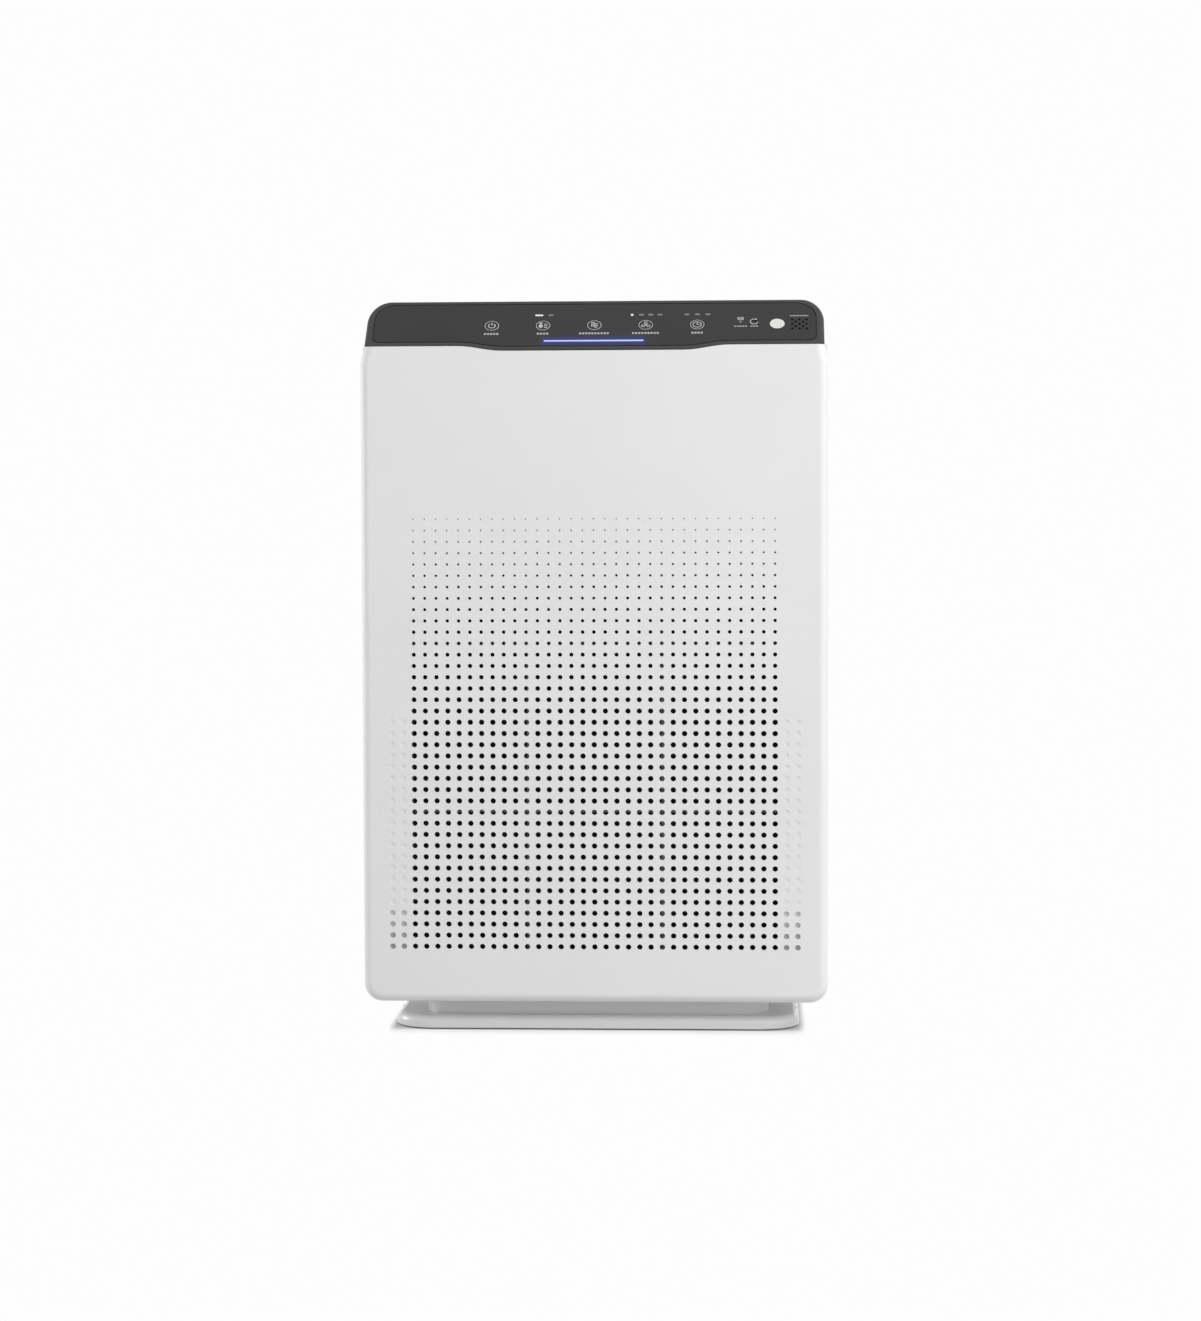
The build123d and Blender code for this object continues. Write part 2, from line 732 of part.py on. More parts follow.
with BuildPart() as tact_switches:
    with BuildSketch(control_plane.offset(-board_depth)):
        with Locations(*[(x, key_height) for x in key_places], reset_place):
            Rectangle(6, 6)
    extrude(amount=2.2)
    with BuildSketch(control_plane.offset(-board_depth + 2.2)):
        with Locations(*[(x, key_height) for x in key_places], reset_place):
            Circle(1.75)
    extrude(amount=board_depth - 2.2 - slope_wall - 1.2 - key_travel - 0.15)
tact_switches.part.label = "tact_switches"

with BuildPart() as indicator_leds:
    with BuildSketch(control_plane.offset(-board_depth)):
        with Locations(*light_places):
            Rectangle(3, 2)
        with Locations(*[(x, 19.2) for x in (-36, -12, 12, 36)]):
            Rectangle(5, 2)
    extrude(amount=2.6)
indicator_leds.part.label = "indicator_leds"

with BuildPart() as odour_sensor:
    with BuildSketch(control_plane.offset(-board_depth)):
        with Locations((sensor_x, key_height + 0.6)):
            Circle(2.6)
    extrude(amount=3.6)
    with BuildSketch(control_plane.offset(-slope_wall - 4)):
        with Locations((vent_x, key_height)):
            RectangleRounded(16, 16, 3)
    extrude(amount=4)
odour_sensor.part.label = "odour_sensor"

# Outlet grille: tilted slats and cross ribs in a thin frame
slat_count = 9
slat_pitch = outlet_depth / slat_count
with BuildPart() as outlet_grille:
    with BuildSketch(Plane.XY.offset(total_height - 1.6)):
        with Locations((0, outlet_y)):
            RectangleRounded(outlet_width + 9.4, outlet_depth + 9.4, 3.7)
            Rectangle(outlet_width - 5, outlet_depth - 5, mode=Mode.SUBTRACT)
    extrude(amount=1.6)
    with BuildSketch(Plane.XY.offset(total_height - 14)):
        with Locations((0, outlet_y)):
            Rectangle(outlet_width - 1, outlet_depth - 1)
            Rectangle(outlet_width - 5, outlet_depth - 5, mode=Mode.SUBTRACT)
    extrude(amount=13)
    with BuildSketch(Plane.YZ) as slats:
        for n in range(slat_count):
            with Locations((outlet_y + (n - slat_count / 2 + 0.5) * slat_pitch, total_height - 7)):
                Rectangle(1.8, 13.2, rotation=25)
    extrude(amount=outlet_width / 2 - 2, both=True)
    with BuildSketch(Plane.XY.offset(total_height - 13)):
        with Locations((0, outlet_y)):
            with GridLocations(outlet_width / 6, 1, 5, 1):
                Rectangle(2, outlet_depth - 4)
    extrude(amount=11)
outlet_grille.part.label = "outlet_grille"

with BuildPart() as top_cover_screws:
    with BuildSketch(Plane.XY.offset(z_seam - 11)):
        with Locations(*boss_places):
            Circle(3.7)
    extrude(amount=3)
    with BuildSketch(Plane.XY.offset(z_seam - 8)):
        with Locations(*boss_places):
            Circle(1.7)
    extrude(amount=16)
top_cover_screws.part.label = "top_cover_screws"

# Pre-filter: a moulded frame of three by three windows with a fine mesh on it
window_x = filter_width / 3
window_z = filter_height / 3
filter_middle = bay_bottom + filter_height / 2
with BuildPart() as prefilter_frame:
    with BuildSketch(upright(prefilter_front + prefilter_depth)):
        with Locations((0, filter_middle)):
            RectangleRounded(filter_width, filter_height, 4)
    extrude(amount=prefilter_depth)
    with BuildSketch(upright(prefilter_front + prefilter_depth)):
        with Locations((0, filter_middle)):
            for column in (-1, 0, 1):
                for row in (-1, 0, 1):
                    with Locations((column * (window_x - 7), row * (window_z - 3))):
                        Rectangle(window_x - 2.6 - 14 * abs(column), window_z - 2.6 - 6 * abs(row))
            # finger notches in the lower corners
            for side in (-1, 1):
                with Locations((side * (filter_width / 2 - 10), -filter_height / 2 + 31)):
                    Rectangle(12, 48)
    extrude(amount=prefilter_depth, mode=Mode.SUBTRACT)
prefilter_frame.part.label = "prefilter_frame"

with BuildPart() as prefilter_mesh:
    with BuildSketch(upright(prefilter_front + prefilter_depth + 0.4)):
        with Locations((0, filter_middle)):
            Rectangle(filter_width - 4, filter_height - 4)
    extrude(amount=0.4)
prefilter_mesh.part.label = "prefilter_mesh"

with BuildPart() as carbon_filter:
    with BuildSketch(upright(carbon_front + carbon_depth)):
        with Locations((0, filter_middle)):
            RectangleRounded(filter_width, filter_height, 3)
    extrude(amount=carbon_depth)
carbon_filter.part.label = "carbon_filter"

# Particle filter: a frame round a pleated sheet
frame_wall = 4.0
with BuildPart() as hepa_frame:
    with BuildSketch(upright(seal_front)):
        with Locations((0, filter_middle)):
            Rectangle(filter_width, filter_height)
            Rectangle(filter_width - 2 * frame_wall, filter_height - 2 * frame_wall, mode=Mode.SUBTRACT)
    extrude(amount=hepa_depth)
    chamfer(hepa_frame.edges().filter_by(Axis.Y).group_by(Axis.X)[0], 2)
    chamfer(hepa_frame.edges().filter_by(Axis.Y).group_by(Axis.X)[-1], 2)
hepa_frame.part.label = "hepa_frame"

pleat_pitch = (filter_width - 2 * frame_wall) / pleat_count
pleat_depth = hepa_depth - 10
with BuildPart() as hepa_media:
    with BuildSketch(Plane.XY.offset(bay_bottom + frame_wall)):
        with BuildLine() as zigzag:
            left = -pleat_pitch * pleat_count / 2
            folds = [
                (left + n * pleat_pitch / 2, hepa_front + 3.4 + (n % 2) * (pleat_depth - 0.8))
                for n in range(2 * pleat_count + 1)
            ]
            back_folds = [(x, y + 4) for x, y in reversed(folds)]
            Polyline(*folds, *back_folds, close=True)
        make_face()
    extrude(amount=filter_height - 2 * frame_wall)
hepa_media.part.label = "hepa_media"

with BuildPart() as filter_seal:
    with BuildSketch(upright(ledge_front)):
        with Locations((0, filter_middle)):
            Rectangle(filter_width, filter_height)
            Rectangle(filter_width - 16, filter_height - 16, mode=Mode.SUBTRACT)
    extrude(amount=seal_depth)
filter_seal.part.label = "filter_seal"

# Fan inlet ring with its bell mouth, and the finger guard over it
with BuildPart() as inlet_ring:
    with BuildSketch(fan_plane):
        with BuildLine():
            bell_y = partition_front + 12
            EllipticalCenterArc((inlet_radius + 1, bell_y), 11, 14, start_angle=180, arc_size=90)
        trace(line_width=2.2)
        with Locations((inlet_radius + 4, partition_front)):
            Rectangle(9, 3.1, align=(Align.CENTER, Align.MAX))
    revolve(axis=fan_axis)
inlet_ring.part.label = "inlet_ring"

guard_back = partition_front - 3.1
with BuildPart() as fan_guard:
    with BuildSketch(upright(guard_back)):
        with Locations((0, fan_height)):
            for ring_radius in (inlet_radius + 8, 78, 58, 38):
                Circle(ring_radius)
                Circle(ring_radius - 2.4, mode=Mode.SUBTRACT)
            Circle(16)
            with PolarLocations(0, 8):
                with Locations((inlet_radius / 2 + 9, 0)):
                    Rectangle(inlet_radius - 6, 2.4)
    extrude(amount=2.5)
fan_guard.part.label = "fan_guard"

# Scroll: a volute of growing quarter arcs that opens upwards into the outlet duct
with BuildSketch() as air_path:
    with BuildLine():
        tongue = (volute_x, volute_z + volute_start)
        right = (volute_x + volute_start, volute_z)
        bottom = (volute_x - volute_growth, volute_z - volute_start - volute_growth)
        left = (volute_left, volute_z + volute_growth)
        RadiusArc(tongue, right, volute_start)
        RadiusArc(right, bottom, volute_start + volute_growth)
        RadiusArc(bottom, left, volute_start + 2 * volute_growth)
        Polyline(
            left,
            (volute_left, z_seam - 60),
            (-duct_half, z_seam - 30),
            (-duct_half, z_seam + 8),
            (duct_half, z_seam + 8),
            (duct_half, z_seam - 40),
            tongue,
        )
    make_face()
    fillet(air_path.vertices().sort_by_distance(tongue)[0], 5)

with BuildPart() as scroll_housing:
    with BuildSketch(upright(plate_back)):
        add(air_path.sketch)
        offset(amount=scroll_wall, kind=Kind.INTERSECTION, mode=Mode.REPLACE)
    extrude(amount=plate_back - partition_back)
    # ears for the screws into the partition
    with BuildSketch(upright(partition_back + 4)):
        with Locations(*scroll_ears):
            Circle(8)
    extrude(amount=4)
    with BuildSketch(upright(scroll_back)):
        add(air_path.sketch)
    extrude(amount=scroll_back - partition_back, mode=Mode.SUBTRACT)
    with BuildSketch(upright(plate_back)):
        with Locations((0, fan_height)):
            with PolarLocations(motor_radius + 26, 3, start_angle=90):
                Circle(6)
    extrude(amount=8)
    with BuildSketch(upright(plate_back)):
        with Locations((0, fan_height)):
            Circle(motor_radius + 8)
    extrude(amount=wall, mode=Mode.SUBTRACT)
    with BuildSketch(upright(plate_back)):
        with Locations((0, fan_height)):
            with PolarLocations(motor_radius + 26, 3, start_angle=90):
                Circle(1.8)
    extrude(amount=9, mode=Mode.SUBTRACT)
    with BuildSketch(upright(partition_back + 4)):
        with Locations(*scroll_ears):
            Circle(2)
    extrude(amount=4, mode=Mode.SUBTRACT)
    # holes for the ion needles in the left wall of the duct
    with BuildSketch(Plane.YZ.offset(volute_left - scroll_wall - 1)):
        with Locations((outlet_y - 12, ion_z), (outlet_y + 12, ion_z)):
            Circle(2.5)
    extrude(amount=scroll_wall + 2, mode=Mode.SUBTRACT)
    split(bisect_by=Plane.XY.offset(z_seam), keep=Keep.BOTTOM)
scroll_housing.part.label = "scroll_housing"

with BuildPart() as scroll_screws:
    with BuildSketch(upright(partition_back + 7)):
        with Locations(*scroll_ears):
            Circle(3.7)
    extrude(amount=3)
    with BuildSketch(upright(partition_back + 4)):
        with Locations(*scroll_ears):
            Circle(1.7)
    extrude(amount=12)
scroll_screws.part.label = "scroll_screws"

# Impeller: forward-curved blades between a front ring and a cupped back plate
cup_radius = motor_radius + 9
cup_front = impeller_back - 35
hub_front = cup_front - 14
with BuildPart() as impeller:
    with BuildSketch(upright(impeller_back - 2)):
        with BuildLine() as blade_arc:
            RadiusArc((blade_inner_radius, 0), (impeller_radius - 1.2, 9), -14)
        with BuildSketch(mode=Mode.PRIVATE) as blade:
            trace(blade_arc.line, line_width=1.4)
        with Locations((0, fan_height)):
            with PolarLocations(0, blade_count):
                add(blade.sketch)
    extrude(amount=impeller_width - 2)
    with BuildSketch(upright(impeller_front + 5)):
        with Locations((0, fan_height)):
            Circle(impeller_radius)
            Circle(impeller_radius - 5, mode=Mode.SUBTRACT)
    extrude(amount=5)
    with BuildSketch(fan_plane):
        with BuildLine():
            Polyline(
                (impeller_radius, impeller_back),
                (impeller_radius, impeller_back - 2.5),
                (cup_radius + 2.5, impeller_back - 2.5),
                (cup_radius, cup_front),
                (13, cup_front - 3),
                (11, hub_front),
                (shaft_radius + 0.05, hub_front),
                (shaft_radius + 0.05, cup_front + 2.5),
                (cup_radius - 5, cup_front + 2.5),
                (cup_radius - 2.5, impeller_back),
                close=True,
            )
        make_face()
    revolve(axis=fan_axis)
impeller.part.label = "impeller"

motor_front = cup_front + 7
motor_rear = plate_back - 9
with BuildPart() as impeller_nut:
    with BuildSketch(upright(hub_front)):
        with Locations((0, fan_height)):
            RegularPolygon(7, 6)
            Circle(shaft_radius + 0.05, mode=Mode.SUBTRACT)
    extrude(amount=6)
impeller_nut.part.label = "impeller_nut"

with BuildPart() as motor_shaft:
    with BuildSketch(upright(plate_back - 3)):
        with Locations((0, fan_height)):
            Circle(shaft_radius)
    extrude(amount=plate_back - 3 - hub_front + 9)
    chamfer(motor_shaft.edges().group_by(Axis.Y)[0], 0.6)
    with BuildSketch(upright(motor_rear - 8)):
        with Locations((0, fan_height)):
            Circle(20)
    extrude(amount=motor_rear - motor_front - 18)
motor_shaft.part.label = "motor_shaft"

# Motor: can, end cap, bearings and wound core on a three-armed bracket
with BuildPart() as motor_housing:
    with BuildSketch(fan_plane):
        with BuildLine():
            Polyline(
                (motor_radius, motor_rear),
                (motor_radius, motor_front + 6),
                (motor_radius - 6, motor_front),
                (5, motor_front),
                (5, motor_front + 1),
                (11, motor_front + 1),
                (11, motor_front + 8),
                (14, motor_front + 8),
                (16, motor_front + 3),
                (motor_radius - 8, motor_front + 3),
                (motor_radius - 2.5, motor_front + 8),
                (motor_radius - 2.5, motor_rear),
                close=True,
            )
        make_face()
    revolve(axis=fan_axis)
motor_housing.part.label = "motor_housing"

with BuildPart() as motor_end_cap:
    with BuildSketch(fan_plane):
        with BuildLine():
            Polyline(
                (0, plate_back),
                (motor_radius - 3, plate_back),
                (motor_radius, plate_back - 3),
                (motor_radius, motor_rear),
                (14, motor_rear),
                (14, motor_rear - 2),
                (11, motor_rear - 2),
                (11, motor_rear + 5),
                (5, motor_rear + 5),
                (5, plate_back - 2),
                (0, plate_back - 2),
                close=True,
            )
        make_face()
    revolve(axis=fan_axis)
motor_end_cap.part.label = "motor_end_cap"

with BuildPart() as motor_bearings:
    for bearing_y in (motor_front + 1, motor_rear - 2):
        with BuildSketch(upright(bearing_y + 7)):
            with Locations((0, fan_height)):
                Circle(11)
                Circle(shaft_radius + 0.3, mode=Mode.SUBTRACT)
        extrude(amount=7)
motor_bearings.part.label = "motor_bearings"

with BuildPart() as motor_core:
    with BuildSketch(upright(motor_rear - 3)):
        with Locations((0, fan_height)):
            Circle(motor_radius - 2.5)
            Circle(21, mode=Mode.SUBTRACT)
            with PolarLocations(26, 8):
                SlotCenterToCenter(10, 5, mode=Mode.SUBTRACT)
    extrude(amount=motor_rear - motor_front - 13)
motor_core.part.label = "motor_core"

arm_reach = motor_radius + 26
with BuildPart() as motor_bracket:
    with BuildSketch(upright(plate_back + 2.5)):
        with Locations((0, fan_height)):
            Circle(30)
            with PolarLocations(arm_reach / 2, 3, start_angle=90):
                Rectangle(arm_reach, 16)
            with PolarLocations(arm_reach, 3, start_angle=90):
                Circle(8)
    extrude(amount=2.5)
    with BuildSketch(upright(plate_back + 2.5)):
        with Locations((0, fan_height)):
            with PolarLocations(arm_reach, 3, start_angle=90):
                Circle(2.2)
            with PolarLocations(20, 3, start_angle=30):
                Circle(2)
    extrude(amount=2.5, mode=Mode.SUBTRACT)
motor_bracket.part.label = "motor_bracket"

with BuildPart() as motor_grommets:
    with BuildSketch(upright(plate_back + 5.5)):
        with Locations((0, fan_height)):
            with PolarLocations(arm_reach, 3, start_angle=90):
                Circle(7)
                Circle(2.2, mode=Mode.SUBTRACT)
    extrude(amount=3)
motor_grommets.part.label = "motor_grommets"

with BuildPart() as motor_screws:
    with BuildSketch(upright(plate_back + 8.5)):
        with Locations((0, fan_height)):
            with PolarLocations(arm_reach, 3, start_angle=90):
                Circle(4)
    extrude(amount=3)
    with BuildSketch(upright(plate_back + 5.5)):
        with Locations((0, fan_height)):
            with PolarLocations(arm_reach, 3, start_angle=90):
                Circle(1.7)
    extrude(amount=12)
motor_screws.part.label = "motor_screws"

# Ion generator in the wall of the outlet duct
with BuildPart() as ionizer_module:
    with BuildSketch(Plane.YZ.offset(volute_left - scroll_wall)):
        with Locations((outlet_y, ion_z)):
            RectangleRounded(40, 60, 3)
    extrude(amount=-14)
    with BuildSketch(Plane.YZ.offset(volute_left - scroll_wall - 1)):
        with Locations((outlet_y - 12, ion_z), (outlet_y + 12, ion_z)):
            Circle(0.8)
    extrude(amount=9)
ionizer_module.part.label = "ionizer_module"

# Power board in its box on the partition, under the scroll
box_x, box_z = -95.0, z_body + 52
with BuildPart() as power_board_cover:
    with BuildSketch(upright(partition_back + 46)):
        with Locations((box_x, box_z)):
            RectangleRounded(116, 56, 5)
    extrude(amount=46)
    offset(amount=-2, openings=power_board_cover.faces().sort_by(Axis.Y)[0])
power_board_cover.part.label = "power_board_cover"

with BuildPart() as power_board:
    with BuildSketch(upright(partition_back + 6)):
        with Locations((box_x, box_z)):
            with GridLocations(92, 34, 2, 2):
                Circle(3)
    extrude(amount=6)
    with BuildSketch(upright(partition_back + 7.6)):
        with Locations((box_x, box_z)):
            Rectangle(106, 46)
    extrude(amount=1.6)
power_board.part.label = "power_board"

with BuildPart() as power_components:
    with BuildSketch(upright(partition_back + 34)):
        with Locations((box_x - 26, box_z)):
            Rectangle(34, 30)
    extrude(amount=26.4)
    with BuildSketch(upright(partition_back + 30)):
        with Locations((box_x + 12, box_z + 8), (box_x + 12, box_z - 12)):
            Circle(8)
    extrude(amount=22.4)
    with BuildSketch(upright(partition_back + 18)):
        with Locations((box_x + 38, box_z)):
            Rectangle(10, 36)
    extrude(amount=10.4)
power_components.part.label = "power_components"

# Base: a low rounded plate with a set-back neck, hollow underneath, on four pads
foot_x, foot_y = base_width / 2 - 30, base_depth / 2 - 26
with BuildPart() as base_stand:
    with BuildSketch(Plane.XY.offset(floor_gap)):
        RectangleRounded(base_width, base_depth, base_corner)
    extrude(amount=base_top - floor_gap)
    fillet(base_stand.faces().sort_by(Axis.Z)[-1].edges(), base_edge)
    fillet(base_stand.faces().sort_by(Axis.Z)[0].edges(), 1)
    with BuildSketch(Plane.XY.offset(base_top - 1)):
        RectangleRounded(neck_width, neck_depth, 24)
    extrude(amount=base_height - base_top + 1)
    with BuildSketch(Plane.XY.offset(floor_gap)):
        RectangleRounded(base_width - 2 * base_wall, base_depth - 2 * base_wall, base_corner - base_wall)
    extrude(amount=base_top - floor_gap - base_wall, mode=Mode.SUBTRACT)
    with BuildSketch(Plane.XY.offset(floor_gap)):
        RectangleRounded(neck_width - 2 * base_wall, neck_depth - 2 * base_wall, 21)
    extrude(amount=base_height - floor_gap - base_wall, mode=Mode.SUBTRACT)
    # ribs, pads for the feet and screw posts
    with BuildSketch(Plane.XY.offset(floor_gap + 1)):
        with GridLocations(base_width / 4, 1, 3, 1):
            Rectangle(2.4, base_depth - base_wall)
        with GridLocations(1, base_depth / 3, 1, 2):
            Rectangle(base_width - base_wall, 2.4)
        with GridLocations(2 * foot_x, 2 * foot_y, 2, 2):
            Circle(foot_diameter / 2 + 3)
        with Locations(*base_screw_places):
            Circle(7)
    extrude(amount=base_top - floor_gap - 2)
    with BuildSketch(Plane.XY.offset(base_top - 2)):
        with Locations(*base_screw_places):
            Circle(7)
    extrude(amount=base_height - base_top)
    with BuildSketch(Plane.XY.offset(floor_gap + 1)):
        with GridLocations(2 * foot_x, 2 * foot_y, 2, 2):
            Circle(foot_diameter / 2 + 0.2)
    extrude(amount=foot_height - floor_gap - 1, mode=Mode.SUBTRACT)
    with BuildSketch(Plane.XY.offset(floor_gap)):
        with Locations(*base_screw_places):
            Circle(4)
    extrude(amount=base_height - floor_gap - 6, mode=Mode.SUBTRACT)
    with BuildSketch(Plane.XY.offset(floor_gap)):
        with Locations(*base_screw_places):
            Circle(2)
    extrude(amount=base_height - floor_gap, mode=Mode.SUBTRACT)
base_stand.part.label = "base_stand"

with BuildPart() as base_feet:
    with BuildSketch():
        with GridLocations(2 * foot_x, 2 * foot_y, 2, 2):
            Circle(foot_diameter / 2)
    extrude(amount=foot_height)
    chamfer(base_feet.edges().group_by(Axis.Z)[0], 0.4)
base_feet.part.label = "base_feet"

with BuildPart() as base_screws:
    with BuildSketch(Plane.XY.offset(base_height - 9)):
        with Locations(*base_screw_places):
            Circle(3.6)
    extrude(amount=3)
    with BuildSketch(Plane.XY.offset(base_height - 6)):
        with Locations(*base_screw_places):
            Circle(1.7)
    extrude(amount=13)
base_screws.part.label = "base_screws"

pieces = [
    base_stand, base_feet, base_screws, main_housing, rear_cover, rear_cover_screws, cord_gland,
    panel_catches, interlock_switch, front_panel, catch_studs, top_cover, top_cover_screws,
    control_overlay, *keys, key_reset, light_bar_lens, light_sensor_lens, indicator_windows,
    control_board, tact_switches, indicator_leds, odour_sensor, outlet_grille, ionizer_module,
    prefilter_frame, prefilter_mesh, carbon_filter, hepa_frame, hepa_media, filter_seal,
    inlet_ring, fan_guard, scroll_housing, scroll_screws, impeller, impeller_nut, motor_shaft,
    motor_housing, motor_end_cap, motor_bearings, motor_core, motor_bracket, motor_grommets,
    motor_screws, power_board, power_board_cover, power_components,
]
for piece in pieces:
    export_step(piece.part, "parts/" + piece.part.label + ".step")
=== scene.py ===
import json
import math

import bmesh
import bpy
from mathutils import Matrix, Vector


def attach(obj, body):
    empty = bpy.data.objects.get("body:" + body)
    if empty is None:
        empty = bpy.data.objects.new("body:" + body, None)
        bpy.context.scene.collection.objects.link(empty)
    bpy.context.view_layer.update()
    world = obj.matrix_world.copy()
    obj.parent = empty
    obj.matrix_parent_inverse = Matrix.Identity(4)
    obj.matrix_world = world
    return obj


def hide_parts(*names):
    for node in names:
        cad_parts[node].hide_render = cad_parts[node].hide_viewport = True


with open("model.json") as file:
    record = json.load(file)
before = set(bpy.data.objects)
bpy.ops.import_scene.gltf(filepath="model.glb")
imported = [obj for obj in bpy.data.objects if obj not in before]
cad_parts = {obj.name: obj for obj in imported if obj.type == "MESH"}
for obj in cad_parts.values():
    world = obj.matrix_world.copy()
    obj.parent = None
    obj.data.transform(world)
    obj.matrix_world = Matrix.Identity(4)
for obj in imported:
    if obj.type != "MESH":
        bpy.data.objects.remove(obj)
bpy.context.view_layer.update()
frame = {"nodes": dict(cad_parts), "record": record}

nodes = frame["nodes"]
scene = bpy.context.scene

# The sloping control strip, in metres: its foot, how far it leans back, and its rows, measured up the slope
strip_lean = math.radians(44)
strip_foot = Vector((0, -0.102, 0.558))
bar_row = 0.0104
label_row = 0.0194
small_label_row = 0.0272
key_row = 0.0297
reset_row = 0.033
filter_row = 0.0368
windows_from_row = 0.038
lamp_row = 0.0425

# Places across the strip
key_x = {
    "key_power": -0.084,
    "key_mode": -0.042,
    "key_ionizer": 0.0,
    "key_fan_speed": 0.042,
    "key_timer": 0.084,
}
lit_mode_x = -0.0457
lit_lamp_x = 0.0306
dim_mark_x = {
    "mode": (-0.036,),
    "speed": (0.0382, 0.0458, 0.0534),
    "timer": (0.0754, 0.084, 0.0926),
}
filter_x = 0.1194
reset_x = 0.1304
vent_x = 0.1672

# Dots of the sensor vent: rows of three and two in turn
vent_rows = 5
vent_columns = 3
vent_pitch = 0.0058
vent_row_pitch = 0.0028

# The status bar, and how much faster its light fades past its ends than beside it
bar_half_length = 0.0402
end_fade = 2.0

# Printed ink
print_thickness = 0.00008
key_ring_radius = 0.0059
key_ring_width = 0.0005
caption_pitch = 0.0025
caption_length = {
    "power": 0.0130,
    "mode": 0.0105,
    "ionizer": 0.0245,
    "fan_speed": 0.0215,
    "timer": 0.0098,
}
small_caption_pitch = 0.0022
upright = math.radians(90)

# The grid of holes in the front panel: full-sized below, growing from the top row down to them
hole_pitch = 0.0092
lowest_row = 0.071
full_rows = 21
hole_rows = 39
last_column = 16
rim_angle = 0.3
same_place = 0.000001

# The blind dimples beside the holes, and the band of depth in which the shade painted into them sets in
dimples_from_x = 0.1515
dimples_to_x = 0.1705
dimples_from_z = 0.060
dimple_mouth_y = -0.1037
dimple_shade_y = -0.1031
darkest_dimple_z = 0.069
palest_dimple_z = 0.110
dimple_shade = 0.50

# Grain that many finishes share: features to the metre and their height
slow_drift = 7
fine_grain = 1000
grain_depth = 0.0002
polish_depth = 0.0001

# Studio: the floor, the part of it that shows the shadow, less far at the sides, and the levels of white
floor_size = 14
shadow_half_width = 0.1635
shadow_half_depth = 0.055
side_fade = 6.0
shadow_reach = 0.030
open_reach = 0.060
floor_for_bounce = (0.62, 0.62, 0.62)
floor_as_seen = (0.88, 0.88, 0.88)
white_level = 0.985
surround_level = 0.45
plain_white = (1, 1, 1, 1)


def on_strip(x, up):
    """The place on the control strip at x across and up along the slope."""
    lean = Matrix.Rotation(strip_lean, 4, "X")
    return Matrix.Translation(strip_foot) @ lean @ Matrix.Translation((x, up, 0))


def new_piece(bm, name, finish):
    """An object at the origin with this mesh and finish."""
    mesh = bpy.data.meshes.new(name)
    bm.to_mesh(mesh)
    bm.free()
    mesh.materials.append(finish)
    piece = bpy.data.objects.new(name, mesh)
    scene.collection.objects.link(piece)
    return piece


# Steps that the finishes are made of

def start_finish(name):
    """A new material with its shader and the piece's own coordinates."""
    material = bpy.data.materials.new(name)
    material.use_nodes = True
    tree = material.node_tree
    where = tree.nodes.new("ShaderNodeTexCoord").outputs["Object"]
    return material, tree, tree.nodes["Principled BSDF"], where


def axes(tree, where):
    """The three coordinates one by one."""
    split = tree.nodes.new("ShaderNodeSeparateXYZ")
    tree.links.new(where, split.inputs["Vector"])
    return split.outputs["X"], split.outputs["Y"], split.outputs["Z"]


def cloud(tree, where, scale, detail=2.0, rough=0.5):
    """Soft noise at so many features to the metre."""
    noise = tree.nodes.new("ShaderNodeTexNoise")
    noise.inputs["Scale"].default_value = scale
    noise.inputs["Detail"].default_value = detail
    noise.inputs["Roughness"].default_value = rough
    tree.links.new(where, noise.inputs["Vector"])
    return noise.outputs["Fac"]


def shades(tree, value, low, high, start=0.35, stop=0.65):
    """A colour between low and high as value goes from start to stop."""
    ramp = tree.nodes.new("ShaderNodeValToRGB")
    ramp.color_ramp.elements[0].position = start
    ramp.color_ramp.elements[0].color = (*low, 1)
    ramp.color_ramp.elements[1].position = stop
    ramp.color_ramp.elements[1].color = (*high, 1)
    tree.links.new(value, ramp.inputs["Fac"])
    return ramp.outputs["Color"]


def spread(tree, value, low, high, start=0.3, stop=0.7):
    """A number between low and high as value goes from start to stop."""
    node = tree.nodes.new("ShaderNodeMapRange")
    node.inputs["From Min"].default_value = start
    node.inputs["From Max"].default_value = stop
    node.inputs["To Min"].default_value = low
    node.inputs["To Max"].default_value = high
    tree.links.new(value, node.inputs["Value"])
    return node.outputs["Result"]


def reckon(tree, kind, first, second=None):
    """One step of arithmetic, each side a number or a node's output."""
    node = tree.nodes.new("ShaderNodeMath")
    node.operation = kind
    for place, value in enumerate((first, second)):
        if isinstance(value, (int, float)):
            node.inputs[place].default_value = value
        elif value is not None:
            tree.links.new(value, node.inputs[place])
    return node.outputs["Value"]


def past(tree, value, edge):
    """How far the size of value goes past edge, and 0 within it."""
    return reckon(tree, "MAXIMUM", reckon(tree, "SUBTRACT", reckon(tree, "ABSOLUTE", value), edge), 0.0)


def distance(tree, across, along):
    """The straight distance that is so far across and so far along."""
    across_squared = reckon(tree, "MULTIPLY", across, across)
    along_squared = reckon(tree, "MULTIPLY", along, along)
    return reckon(tree, "SQRT", reckon(tree, "ADD", across_squared, along_squared))


def emboss(tree, shader, height, strength, depth):
    """Fine relief on the surface."""
    bump = tree.nodes.new("ShaderNodeBump")
    bump.inputs["Strength"].default_value = strength
    bump.inputs["Distance"].default_value = depth
    tree.links.new(height, bump.inputs["Height"])
    tree.links.new(bump.outputs["Normal"], shader.inputs["Normal"])


def tint(colour, factor):
    """The colour made lighter or darker."""
    return tuple(min(1.0, channel * factor) for channel in colour)


# Finishes

